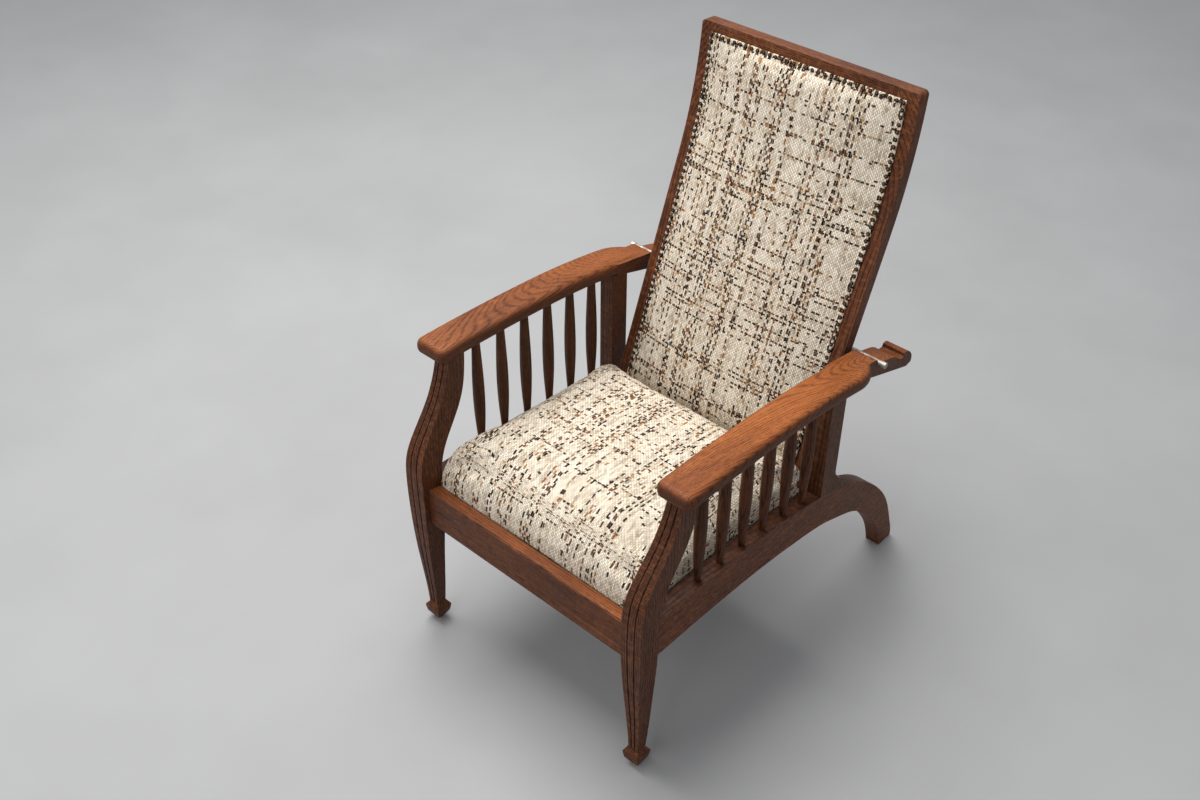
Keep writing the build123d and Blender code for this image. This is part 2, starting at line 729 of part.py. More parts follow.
def back_edge(start, end, out):
    """Line and arc up the back, between two lengths, at a distance out of the face."""
    pieces = []
    if start < back_straight:
        pieces.append(Line(back_point(start, out), back_point(min(end, back_straight), out)))
    if end > back_straight:
        low = max(start, back_straight)
        middle = back_point((low + end) / 2, out)
        pieces.append(ThreePointArc(back_point(low, out), middle, back_point(end, out)))
    return pieces


def back_band(start, end, out_low, out_high, x_low, x_high):
    """Piece of the back between two lengths, two distances out of the face and two X values."""
    edges = back_edge(start, end, out_high) + back_edge(start, end, out_low)
    edges.append(Line(back_point(start, out_low), back_point(start, out_high)))
    edges.append(Line(back_point(end, out_low), back_point(end, out_high)))
    return slab(edges, x_low, x_high)


def back_rail_tenons(centre, height, gap):
    """Both tenons of a rail of the back, or their mortises when a gap is given."""
    half = height * back_tenon_height_share / 2 + gap
    thick = back_tenon_thickness / 2 + gap
    reach = back_half_width - stile_width + back_tenon_length + gap
    return back_band(centre - half, centre + half, -back_depth / 2 - thick, -back_depth / 2 + thick,
                     -reach, reach)


def back_stile():
    """Left stile of the back."""
    stile = back_band(0, back_length, -back_depth, 0, back_half_width - stile_width, back_half_width)
    outer = stile.edges().filter_by_position(Axis.X, back_half_width - wood_gap, back_half_width + wood_gap)
    stile = fillet(outer.sort_by(Axis.Z)[-1], back_corner_radius)
    top_centre = back_length - top_rail_height / 2
    stile -= back_rail_tenons(top_centre, top_rail_height, wood_gap)
    stile -= back_rail_tenons(bottom_rail_height / 2, bottom_rail_height, wood_gap)
    return stile - back_cover_space(overrun, wood_gap)


def back_rail(start, height):
    """Rail of the back between the stiles, with two tenons."""
    half = back_half_width - stile_width
    rail = back_band(start, start + height, -back_depth, 0, -half, half)
    rail = rail + back_rail_tenons(start + height / 2, height, 0)
    return rail - back_cover_space(overrun, wood_gap)


def hinge_frame(direction):
    """Local frame of a hinge leaf: X along the pin, Y from the leaf's seat outward, Z along the leaf."""
    if direction == "moving":
        up = back_point(back_straight, 0) - back_point(0, 0)
        return Plane(origin=(0, hinge_setback, hinge_height), x_dir=(1, 0, 0), z_dir=up)
    return Plane(origin=(0, hinge_setback, hinge_height), x_dir=(-1, 0, 0), z_dir=(0, 0, -1))


def hinge_leaf(direction, centre):
    """One leaf of a butt hinge with its share of the three knuckles."""
    seat = -hinge_offset
    leaf = block(-hinge_width / 2, hinge_width / 2, seat, seat + hinge_leaf_thickness, 0, hinge_leaf_height)
    knuckle = hinge_width / 3
    barrel = Rot(0, 90, 0) * Cylinder(hinge_barrel_radius, hinge_width)
    room = hinge_barrel_radius + hinge_barrel_gap
    middle = Rot(0, 90, 0) * Cylinder(room, knuckle + hinge_knuckle_gap)
    if direction == "moving":
        core = Rot(0, 90, 0) * Cylinder(hinge_barrel_radius, knuckle - hinge_knuckle_gap)
        beside = Rot(0, 90, 0) * Cylinder(room, knuckle + overrun)
        offset = knuckle + overrun / 2 - hinge_knuckle_gap / 2
        leaf = (leaf - Pos(offset, 0, 0) * beside - Pos(-offset, 0, 0) * beside) + core
    else:
        leaf = (leaf + barrel) - middle
    leaf -= Rot(0, 90, 0) * Cylinder(hinge_pin_radius + hinge_pin_gap, hinge_width + overrun)
    for across, along in hinge_screw_shares:
        hole = Pos(across * hinge_width, seat, along * hinge_leaf_height) * Rot(90, 0, 0)
        leaf -= hole * Cylinder(hinge_screw_radius + wood_gap, overrun)
    return Pos(centre, 0, 0) * (hinge_frame(direction).location * leaf)


def hinge_screws(direction, gap):
    """The screws of both hinges' leaves on one side, or their holes when a gap is given."""
    screws = []
    for centre in (-hinge_spacing / 2, hinge_spacing / 2):
        for across, along in hinge_screw_shares:
            shank = Cylinder(hinge_screw_radius + gap, hinge_screw_length + hinge_leaf_thickness + gap,
                             align=(Align.CENTER, Align.CENTER, Align.MAX))
            dome = Sphere(hinge_screw_head_radius) & Pos(0, 0, hinge_screw_head_radius) * Box(
                2 * hinge_screw_head_radius, 2 * hinge_screw_head_radius, 2 * hinge_screw_head_radius)
            dome = scale(dome, by=(1, 1, hinge_screw_dome_share))
            screw = Rot(-90, 0, 0) * (shank + dome)
            place = Pos(across * hinge_width, hinge_leaf_thickness - hinge_offset, along * hinge_leaf_height)
            screws.append(Pos(centre, 0, 0) * (hinge_frame(direction).location * (place * screw)))
    return group(screws)


def hinge_pin(centre):
    """Pin of one hinge."""
    return Pos(centre, hinge_setback, hinge_height) * Rot(0, 90, 0) * Cylinder(hinge_pin_radius, hinge_width)


def seat_place():
    """Location of the drop-in seat: its front top edge, sloping down to the rear."""
    return Pos(0, seat_front, seat_front_height) * Rot(-seat_slope, 0, 0)


def seat_bars():
    """The four bars of the seat frame in the seat's own frame, whose top is at Z = 0."""
    low = -seat_bar_thickness
    inner = seat_half - seat_bar_width
    front = block(-seat_half, seat_half, 0, seat_bar_width, low, 0)
    rear = block(-seat_half, seat_half, seat_depth - seat_bar_width, seat_depth, low, 0)
    left = block(inner, seat_half, seat_bar_width, seat_depth - seat_bar_width, low, 0)
    right = block(-seat_half, -inner, seat_bar_width, seat_depth - seat_bar_width, low, 0)
    return {"front": front, "rear": rear, "left": left, "right": right}


def seat_webs(lengthwise):
    """Jute webs of the seat: one layer from front to rear, one across it."""
    straps = []
    inner_width = 2 * seat_half - seat_bar_width
    inner_depth = seat_depth - seat_bar_width
    for number in range(seat_web_count):
        place = (number + 0.5) / seat_web_count
        if lengthwise:
            centre = -inner_width / 2 + place * inner_width
            straps.append(block(centre - web_width / 2, centre + web_width / 2, seat_bar_width / 4,
                                seat_depth - seat_bar_width / 4, 0, web_thickness))
        else:
            centre = seat_bar_width / 2 + place * inner_depth
            edge = seat_half - seat_bar_width / 4
            straps.append(block(-edge, edge, centre - web_width / 2, centre + web_width / 2,
                                web_thickness, 2 * web_thickness))
    return group(straps)


def cushion_outline(height_share, side_share, front_share, rear_share):
    """Closed outline of the cushion at one height: four drawn-in sides and four round corners."""
    half = seat_half + cushion_side_overhang - side_share * cushion_height
    front = front_share * cushion_height - cushion_front_overhang
    rear = seat_depth + cushion_rear_overhang - rear_share * cushion_height
    radius = cushion_corner_radius
    diagonal = radius * (1 - math.sqrt(0.5))
    middle = (front + rear) / 2
    draw = cushion_side_draw
    edges = []
    for side in (1, -1):
        edges.append(ThreePointArc((side * half, front + radius), (side * (half - draw), middle),
                                   (side * half, rear - radius)))
        edges.append(ThreePointArc((side * half, front + radius),
                                   (side * (half - diagonal), front + diagonal),
                                   (side * (half - radius), front)))
        edges.append(ThreePointArc((side * half, rear - radius),
                                   (side * (half - diagonal), rear - diagonal),
                                   (side * (half - radius), rear)))
    edges.append(ThreePointArc((radius - half, front), (0, front + draw), (half - radius, front)))
    edges.append(ThreePointArc((radius - half, rear), (0, rear - draw), (half - radius, rear)))
    base = 2 * web_thickness + hessian_thickness + soft_gap
    place = Pos(0, 0, base + height_share * cushion_height) * Rot(-height_share * cushion_top_slope, 0, 0)
    return place * outline_face(edges)


def seat_cushion():
    """Crowned cushion with drawn-in sides, lofted through its outlines."""
    return loft([cushion_outline(*row) for row in cushion_shares])


def side_ledger():
    """Ledger strip that carries the left side of the seat, fixed to the side rail."""
    strip = block(seat_half_width - ledger_width, seat_half_width, corner_block_leg,
                  seat_depth - corner_block_leg, -seat_bar_thickness - ledger_height, -seat_bar_thickness)
    return drilled(seat_place() * strip, ledger_screws(wood_gap))


def front_ledger():
    """Ledger strip fixed to the front rail, its top sloped with the seat."""
    rear = front_rail_face + front_rail_thickness
    half = leg_inner_face - corner_block_leg
    reach = rear - seat_front
    strip = block(-half, half, 2 * reach, reach + ledger_width, -seat_bar_thickness - ledger_height,
                  -seat_bar_thickness)
    return seat_place() * strip - block(-half, half, 0, rear, 0, rail_top_height)


def ledger_screws(gap):
    """Screws through the left ledger into its side rail, or their holes when a gap is given."""
    screws = []
    span = seat_depth - 2 * corner_block_leg
    start = seat_half_width - ledger_width
    for number in range(ledger_screw_count):
        place = corner_block_leg + (number + 0.5) / ledger_screw_count * span
        shank = Rot(0, 90, 0) * Cylinder(ledger_screw_radius + gap, ledger_screw_length + gap)
        head = Rot(0, 90, 0) * Cylinder(2 * ledger_screw_radius, ledger_screw_radius)
        screw = Pos(start + ledger_screw_length / 2, 0, 0) * shank
        screw += Pos(start - ledger_screw_radius / 2, 0, 0) * head
        screws.append(seat_place() * (Pos(0, place, -seat_bar_thickness - ledger_height / 2) * screw))
    return group(screws)


def corner_blocks():
    """Glued triangular blocks in the four corners under the seat."""
    blocks = []
    front = front_rail_face + front_rail_thickness
    rear = rear_rail_rear - rear_rail_thickness
    high = seat_front_height - seat_bar_thickness - ledger_height / 2
    low_rear = rear_rail_top - rear_rail_height / 2
    for corner, direction, top in ((front, 1, high), (rear, -1, low_rear)):
        points = [
            Vector(leg_inner_face, corner, top),
            Vector(leg_inner_face - corner_block_leg, corner, top),
            Vector(leg_inner_face, corner + direction * corner_block_leg, top),
        ]
        if direction < 0:
            points = [Vector(point.X + leg_reveal_inner, point.Y, point.Z) for point in points]
        face = outline_face([Polyline(points + [points[0]])])
        left = extrude(face, amount=corner_block_height, dir=(0, 0, -1))
        blocks.append(left)
        blocks.append(mirror(left, about=Plane.YZ))
    return group(blocks)


def back_webs(across):
    """Webs on the front of the back frame: one layer up it, one across it."""
    straps = []
    edge = pad_half_width - pad_border
    low = pad_bottom + pad_border
    high = pad_top - pad_border
    if across:
        run = high - low - 2 * web_width
        for number in range(back_web_count):
            centre = low + web_width + run * number / (back_web_count - 1)
            straps.append(back_band(centre - web_width / 2, centre + web_width / 2, web_thickness,
                                    2 * web_thickness, -edge, edge))
    else:
        for number in range(back_web_upright_count):
            place = (number + 0.5) / back_web_upright_count * 2 - 1
            centre = place * (edge - web_width / 2)
            straps.append(back_band(low, high, 0, web_thickness, centre - web_width / 2,
                                    centre + web_width / 2))
    return group(straps)


def pad_section(length_share, crown_share):
    """Cross-section of the pad: flat underneath, thin flat borders and a domed middle."""
    along = pad_bottom + length_share * pad_length
    half = pad_half_width
    inner = half - pad_border
    crown = pad_edge + crown_share * pad_crown
    edges = [
        Polyline((inner, pad_edge), (half, pad_edge), (half, 0), (-half, 0), (-half, pad_edge),
                 (-inner, pad_edge)),
        ThreePointArc((-inner, pad_edge), (0, crown), (inner, pad_edge)),
    ]
    return back_plane(along) * outline_face(edges)


def back_pad():
    """Domed pad of the back, lofted up the curved frame, with a flat top border and room for the webs."""
    pad = loft([pad_section(*row) for row in pad_shares])
    pad -= back_band(0, back_length, -overrun, 0, -back_half_width, back_half_width)
    pad -= back_band(pad_top - pad_border, back_length, pad_edge, pad_edge + overrun, -back_half_width,
                     back_half_width)
    half = pad_half_width - pad_border + soft_gap
    low = pad_bottom + pad_border - soft_gap
    high = pad_top - pad_border + soft_gap
    return pad - back_band(low, high, -overrun, 2 * web_thickness + soft_gap, -half, half)


def back_cover_space(depth, gap):
    """Space of the outside cover, or the rebate round it when a gap is given."""
    half = back_half_width - stile_width + cover_lap + gap
    low = bottom_rail_height - cover_lap - gap
    high = back_length - top_rail_height + cover_lap + gap
    floor = cover_rebate - back_depth
    return back_band(low, high, floor - depth, floor, -half, half)


def nail(along, across):
    """Domed upholstery nail in the pad's border."""
    side = 2 * nail_radius
    dome = Sphere(nail_radius) & Pos(0, 0, nail_radius) * Box(side, side, side)
    dome = Rot(-90, 0, 0) * scale(dome, by=(1, 1, nail_dome / nail_radius))
    return back_plane(along).location * (Pos(across, pad_edge + soft_gap, 0) * dome)


def nail_rows():
    """The three rows of nails: up each side and along the top."""
    line = pad_half_width - nail_inset
    top = pad_top - nail_inset
    low = bottom_rail_height
    side_count = int((top - low) / nail_pitch)
    side_step = (top - low) / side_count
    across_count = round(2 * line / nail_pitch)
    across_step = 2 * line / across_count
    left = [nail(low + number * side_step, line) for number in range(side_count + 1)]
    over = [nail(top, -line + number * across_step) for number in range(1, across_count)]
    right = [mirror(piece, about=Plane.YZ) for piece in left]
    return {"left": left, "right": right, "top": over}


def rod():
    """Support rod with its two blind centre holes."""
    bar = Rot(0, 90, 0) * Cylinder(rod_radius, 2 * rod_half_length)
    for side in (1, -1):
        hole = Rot(0, 90, 0) * Cylinder(rod_end_hole_radius, 2 * rod_end_hole_depth)
        bar -= Pos(side * rod_half_length, 0, 0) * hole
    return Pos(0, rod_setback, rod_height) * bar


def rod_collar():
    """Thin collar on the left end of the rod."""
    outer = Cylinder(rod_radius + rod_collar_wall, rod_collar_length)
    ring = outer - Cylinder(rod_radius + rod_collar_gap, rod_collar_length + overrun)
    return Pos(rod_half_length - rod_collar_length / 2, rod_setback, rod_height) * (Rot(0, 90, 0) * ring)


def build_frame():
    """Write the fixed frame of the chair."""
    save_pair("front_leg", front_leg())
    save_pair("side_rail", side_rail())
    arm_blank = arm_body() + arm_rear()
    save_pair("rear_post", rear_post(arm_blank))
    save_pair("arm", arm(arm_blank))
    for number, (setback, low, high) in enumerate(spindle_ends(), start=1):
        left = spindle(setback, low, high)
        save("spindle_left_" + str(number), left)
        save("spindle_right_" + str(number), mirror(left, about=Plane.YZ))
    save("front_rail", front_rail())
    save("rear_rail", rear_rail())
    save_pair("seat_ledger", side_ledger())
    save("seat_ledger_front", front_ledger())
    save_pair("ledger_screws", ledger_screws(0))
    save("corner_blocks", corner_blocks())


def build_seat():
    """Write the drop-in seat."""
    for name, bar in seat_bars().items():
        save("seat_frame_" + name, seat_place() * bar)
    save("seat_webs_lengthwise", seat_place() * seat_webs(True))
    save("seat_webs_across", seat_place() * seat_webs(False))
    low = 2 * web_thickness
    hessian = block(-seat_half, seat_half, 0, seat_depth, low, low + hessian_thickness)
    save("seat_hessian", seat_place() * hessian)
    save("seat_cushion", seat_place() * seat_cushion())


def build_back():
    """Write the back and its upholstery."""
    save_pair("back_stile", back_stile())
    save("back_top_rail", back_rail(back_length - top_rail_height, top_rail_height))
    save("back_bottom_rail", drilled(back_rail(0, bottom_rail_height), hinge_screws("moving", wood_gap)))
    save("back_webs_upright", back_webs(False))
    save("back_webs_across", back_webs(True))
    save("back_pad", back_pad())
    save("back_cover", back_cover_space(cover_thickness, 0))
    for name, nails in nail_rows().items():
        save("nails_" + name, group(nails))


def build_hinges():
    """Write the two hinges between the rear rail and the back."""
    for name, centre in (("left", hinge_spacing / 2), ("right", -hinge_spacing / 2)):
        save("hinge_fixed_leaf_" + name, hinge_leaf("fixed", centre))
        save("hinge_moving_leaf_" + name, hinge_leaf("moving", centre))
        save("hinge_pin_" + name, hinge_pin(centre))
    save("hinge_screws_fixed", hinge_screws("fixed", 0))
    save("hinge_screws_moving", hinge_screws("moving", 0))


def build_rod():
    """Write the support rod and its collars."""
    save("support_rod", rod())
    save_pair("rod_collar", rod_collar())


build_frame()
build_seat()
build_back()
build_hinges()
build_rod()
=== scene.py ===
import math

import bpy
import numpy as np
from mathutils import Matrix, Vector


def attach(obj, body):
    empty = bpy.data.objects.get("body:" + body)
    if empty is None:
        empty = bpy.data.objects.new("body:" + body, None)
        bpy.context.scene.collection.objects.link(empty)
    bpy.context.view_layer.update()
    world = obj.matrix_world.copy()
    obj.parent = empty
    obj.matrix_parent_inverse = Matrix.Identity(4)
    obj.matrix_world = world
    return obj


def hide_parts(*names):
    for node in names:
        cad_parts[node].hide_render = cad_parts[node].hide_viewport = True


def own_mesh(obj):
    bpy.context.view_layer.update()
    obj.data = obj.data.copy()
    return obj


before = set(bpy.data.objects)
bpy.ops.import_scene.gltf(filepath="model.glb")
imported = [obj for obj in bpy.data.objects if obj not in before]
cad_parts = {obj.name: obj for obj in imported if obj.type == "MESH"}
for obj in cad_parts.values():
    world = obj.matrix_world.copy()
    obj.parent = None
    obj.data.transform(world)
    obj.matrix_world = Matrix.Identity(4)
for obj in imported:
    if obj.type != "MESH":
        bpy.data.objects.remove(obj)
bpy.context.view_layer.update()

# Reclining oak armchair with tweed upholstery, in metres, in the frame of the solids.
# The wooden pieces and the metal ones are the solids themselves with finishes of their own.
# The cushion, the pad of the back, the webs, the hessian and the outside cover are made here.

scene = bpy.context.scene

# Sizes that the upholstery shares with the solids
FLOOR_HEIGHT = 0.011
HALF_DEPTH = 0.442
BACK_LEAN = math.radians(20.5)
BACK_FACE = (0.562, 0.400)
BACK_FOOT_HEIGHT = 0.352
BACK_FOOT = (BACK_FACE[0] - (BACK_FACE[1] - BACK_FOOT_HEIGHT) * math.tan(BACK_LEAN), BACK_FOOT_HEIGHT)
BACK_STRAIGHT = 0.530
BACK_CURVE_RADIUS = 0.900
PAD_HALF_WIDTH = 0.221
PAD_LOW = 0.034
PAD_HIGH = 0.782
PAD_EDGE = 0.005
PAD_CROWN = 0.024
PAD_BORDER = 0.013
NAIL_PITCH = 0.0138
NAIL_INSET = 0.005
NAIL_START = 0.062
SEAT_FRONT = (0.051, 0.370)
SEAT_SLOPE = math.radians(3.0)
SEAT_HALF_WIDTH = 0.254
SEAT_DEPTH = 0.485
CUSHION_BASE = 0.0035
CUSHION_HEIGHT = 0.122
SEAT_BAR_WIDTH = 0.048
WEB_WIDTH = 0.050
WEB_THICKNESS = 0.0012
SEAT_WEBS = 5
BACK_WEBS_UPRIGHT = 3
BACK_WEBS_ACROSS = 7
HESSIAN_THICKNESS = 0.0008
COVER_HALF_WIDTH = 0.2125
COVER_LOW = 0.048
COVER_HIGH = 0.754
COVER_BASE = -0.0274
COVER_THICKNESS = 0.002

# Room that the full cushion has between the legs and side rails, and over the front rail
ROOM_BETWEEN_RAILS = 0.2590
ROOM_OVER_RAILS = 0.006
RAIL_EDGE_HEIGHTS = (0.384, 0.410)
ROOM_BETWEEN_LEGS = 0.2546
ROOM_BEHIND_LEGS = 0.02
LEG_REAR_SETBACKS = (-0.392, -0.372)
FRONT_RAIL_FACE = -0.3990
FRONT_ROLL = 0.006
FRONT_RAIL_HEIGHTS = (0.373, 0.388)

# How cushion and pad are filled
CUSHION_VOXEL = 0.0055
CUSHION_SHRINK = 0.004
CUSHION_SWELL = 0.014
PAD_SWELL = 0.005
FILL_PRESSURE = 4.0
FILL_STEPS = 20
SHOULDER = 0.045

# The photograph's camera: azimuth, elevation and roll in degrees, place in metres, lens in millimetres
CAMERA_ANGLES = (42.114, 38.509, 0.344)
CAMERA_PLACE = (1.28357, -1.63671, 2.14002)
CAMERA_LENS = 40.346
CAMERA_SENSOR = 36.0


# Places

def back_place(along, out):
    """Y and Z of points of the back: a length up its face, first straight and then on an arc of the back's
    radius, and a distance square to the face there."""
    along = np.asarray(along, float)
    straight = np.minimum(along, BACK_STRAIGHT)
    turn = np.maximum(along - BACK_STRAIGHT, 0) / BACK_CURVE_RADIUS
    lean = BACK_LEAN - turn
    y = BACK_FOOT[0] + straight * math.sin(BACK_LEAN)
    z = BACK_FOOT[1] + straight * math.cos(BACK_LEAN)
    y = y + BACK_CURVE_RADIUS * (np.cos(lean) - math.cos(BACK_LEAN))
    z = z + BACK_CURVE_RADIUS * (math.sin(BACK_LEAN) - np.sin(lean))
    return y - out * np.cos(lean) - HALF_DEPTH, z + out * np.sin(lean) - FLOOR_HEIGHT


def seat_place(deep, high):
    """Y and Z of points of the seat: a depth behind its front edge and a height over the frame, both turned
    by the seat's slope."""
    y = SEAT_FRONT[0] + deep * math.cos(SEAT_SLOPE) + high * math.sin(SEAT_SLOPE)
    z = SEAT_FRONT[1] - deep * math.sin(SEAT_SLOPE) + high * math.cos(SEAT_SLOPE)
    return y - HALF_DEPTH, z - FLOOR_HEIGHT


def ease(low, high, value):
    """Smooth step from 0 at low to 1 at high: three squares of the share less two cubes of it."""
    share = np.clip((value - low) / (high - low), 0, 1)
    return share * share * (3 - 2 * share)


# Meshes

def mesh_piece(name, points, faces, finish):
    """A piece from an array of points and a list of faces, shaded smooth."""
    mesh = bpy.data.meshes.new(name)
    mesh.from_pydata(np.asarray(points).tolist(), [], faces)
    mesh.polygons.foreach_set("use_smooth", [True] * len(mesh.polygons))
    mesh.materials.append(finish)
    mesh.update()
    piece = bpy.data.objects.new(name, mesh)
    scene.collection.objects.link(piece)
    return piece


def grid_faces(rows, columns, first=0, turned=False):
    """Quads between the points of a grid that is stored row after row."""
    corner = np.arange(rows * columns).reshape(rows, columns) + first
    quads = np.stack([corner[:-1, :-1], corner[:-1, 1:], corner[1:, 1:], corner[1:, :-1]], -1)
    quads = quads.reshape(-1, 4)
    return (quads[:, ::-1] if turned else quads).tolist()


def rim_faces(rows, columns, second):
    """Quads that join the border of one grid to the border of the next one of the same size."""
    corner = np.arange(rows * columns).reshape(rows, columns)
    loop = np.concatenate([corner[0, :-1], corner[:-1, -1], corner[-1, :0:-1], corner[:0:-1, 0]])
    following = np.roll(loop, -1)
    return np.stack([following, loop, loop + second, following + second], -1).tolist()


def closed_pad(name, top, bottom, finish):
    """A closed pad between two grids of points of one size, top over bottom, joined round the border."""
    rows, columns = top.shape[:2]
    count = rows * columns
    points = np.concatenate([top.reshape(-1, 3), bottom.reshape(-1, 3)])
    faces = grid_faces(rows, columns) + grid_faces(rows, columns, count, True)
    faces += rim_faces(rows, columns, count)
    return mesh_piece(name, points, faces, finish)


def read_points(piece):
    """The piece's points as an array."""
    values = np.empty(len(piece.data.vertices) * 3)
    piece.data.vertices.foreach_get("co", values)
    return values.reshape(-1, 3)


def write_points(piece, points):
    """Moves the piece's points to the places of an array."""
    piece.data.vertices.foreach_set("co", np.asarray(points, float).ravel())
    piece.data.update()


def apply_modifiers(piece):
    """Makes a piece's modifiers part of its mesh."""
    graph = bpy.context.evaluated_depsgraph_get()
    mesh = bpy.data.meshes.new_from_object(piece.evaluated_get(graph), depsgraph=graph)
    piece.modifiers.clear()
    piece.data = mesh


def lay_cloth(piece, across, along):
    """Gives each corner of the mesh its place on the flat cloth in metres, across the warp and along it.
    The values come by point or by corner."""
    corner = np.empty(len(piece.data.loops), int)
    piece.data.loops.foreach_get("vertex_index", corner)
    layer = piece.data.uv_layers.new(name="cloth")
    across = across if len(across) == len(corner) else across[corner]
    along = along if len(along) == len(corner) else along[corner]
    layer.data.foreach_set("uv", np.stack([across, along], -1).ravel())


def plump(piece, free, cap):
    """Fills a closed pad by a cloth simulation: free is each point's freedom from 0 to 1, and no point
    goes further than the cap."""
    before = read_points(piece)
    held = piece.vertex_groups.new(name="held")
    for index, share in enumerate(free):
        held.add([index], float(1 - share), "REPLACE")
    cloth = piece.modifiers.new("cloth", "CLOTH")
    settings = cloth.settings
    settings.quality = 6
    settings.mass = 0.4
    settings.tension_stiffness = settings.compression_stiffness = 12
    settings.shear_stiffness = 6
    settings.bending_stiffness = 2
    settings.use_pressure = True
    settings.uniform_pressure_force = FILL_PRESSURE
    settings.effector_weights.gravity = 0
    settings.vertex_group_mass = "held"
    settings.pin_stiffness = 2
    cloth.collision_settings.use_collision = False
    for number in range(1, FILL_STEPS + 1):
        scene.frame_set(number)
    apply_modifiers(piece)
    scene.frame_set(1)
    moved = read_points(piece) - before
    length = np.linalg.norm(moved, axis=1, keepdims=True)
    share = np.minimum(1, cap / np.maximum(length, 1e-9))
    write_points(piece, before + moved * share * np.asarray(free)[:, None])


def refine(piece):
    """Adds one level of smooth subdivision to a piece."""
    finer = piece.modifiers.new("finer", "SUBSURF")
    finer.levels = finer.render_levels = 1
    apply_modifiers(piece)
    piece.data.polygons.foreach_set("use_smooth", [True] * len(piece.data.polygons))


# Nodes of the finishes

class Finish:
    """A finish in the making: its nodes are added one by one and fed by number, colour or socket."""

    def __init__(self, name):
        self.material = bpy.data.materials.new(name)
        self.material.use_nodes = True
        self.tree = self.material.node_tree
        self.tree.nodes.clear()
        self.shader = self.node("BsdfPrincipled")
        out = self.node("OutputMaterial")
        self.tree.links.new(self.shader.outputs[0], out.inputs["Surface"])

    def node(self, kind, wires=(), **settings):
        """Adds a node, sets its own settings and feeds its inputs."""
        made = self.tree.nodes.new("ShaderNode" + kind)
        for key, value in settings.items():
            setattr(made, key, value)
        for key, value in dict(wires).items():
            self.feed(made.inputs[key], value)
        return made

    def feed(self, socket, value):
        """Links a socket to an output, or gives it a fixed value."""
        if isinstance(value, bpy.types.NodeSocket):
            self.tree.links.new(value, socket)
        else:
            socket.default_value = value

    def math(self, operation, *values, clamp=False):
        """One sum of numbers or sockets."""
        return self.node("Math", enumerate(values), operation=operation, use_clamp=clamp).outputs[0]

    def add(self, *values):
        """The sum of two or more values."""
        total = values[0]
        for value in values[1:]:
            total = self.math("ADD", total, value)
        return total

    def times(self, *values):
        """The product of two or more values."""
        total = values[0]
        for value in values[1:]:
            total = self.math("MULTIPLY", total, value)
        return total

    def steps(self, value, low, high, to_low=0.0, to_high=1.0):
        """A smooth step of a value from to_low at low to to_high at high."""
        return self.node("MapRange", {0: value, 1: low, 2: high, 3: to_low, 4: to_high},
                         interpolation_type="SMOOTHSTEP").outputs[0]

    def noise(self, place, scale, detail=2.0, rough=0.5, colour=False):
        """Noise at a place that is stretched by a scale for each axis."""
        spread = self.node("VectorMath", {0: place, 1: scale}, operation="MULTIPLY").outputs[0]
        made = self.node("TexNoise", {"Vector": spread, "Scale": 1.0, "Detail": detail,
                                      "Roughness": rough})
        return made.outputs["Color" if colour else "Fac"]

    def random(self, *values):
        """A steady random number for each set of whole numbers."""
        wires = dict(enumerate(values))
        place = self.node("CombineXYZ", wires).outputs[0]
        return self.node("TexWhiteNoise", {"Vector": place}, noise_dimensions="3D").outputs["Value"]

    def colours(self, value, stops, interpolation="LINEAR"):
        """A run of colours, each with the value that it stands at."""
        ramp = self.node("ValToRGB", {0: value})
        ramp.color_ramp.interpolation = interpolation
        points = ramp.color_ramp.elements
        while len(points) < len(stops):
            points.new(1.0)
        for point, (place, colour) in zip(points, stops):
            point.position = place
            point.color = (*colour, 1.0)
        return ramp.outputs["Color"]

    def mix(self, share, first, second, kind="MIX"):
        """A mix of two colours."""
        return self.node("Mix", {0: share, 6: first, 7: second}, data_type="RGBA", blend_type=kind,
                         clamp_factor=True).outputs[2]

    def object_place(self):
        """The place on the piece, in metres."""
        return self.node("TexCoord").outputs["Object"]

    def object_normal(self):
        """The direction that the piece faces, in its own frame."""
        return self.node("TexCoord").outputs["Normal"]

    def bump(self, height, distance, strength=1.0, under=None):
        """A bump from a height, over another normal if there is one."""
        wires = {"Height": height, "Distance": distance, "Strength": strength}
        if under is not None:
            wires["Normal"] = under
        return self.node("Bump", wires).outputs[0]

    def surface(self, colour, rough, normal=None, **fixed):
        """Feeds the shader its colour, roughness and normal, and its fixed values by name."""
        self.feed(self.shader.inputs["Base Color"], colour)
        self.feed(self.shader.inputs["Roughness"], rough)
        if normal is not None:
            self.feed(self.shader.inputs["Normal"], normal)
        for key, value in fixed.items():
            self.shader.inputs[key.replace("_", " ").title().replace("Ior", "IOR")].default_value = value
        return self.material


GRAIN_TURNS = {
    "across": (0.0, math.radians(-90), 0.0),
    "deep": (math.radians(90), 0.0, 0.0),
    "upright": (0.0, 0.0, 0.0),
    "leaning": (BACK_LEAN, 0.0, 0.0),
}


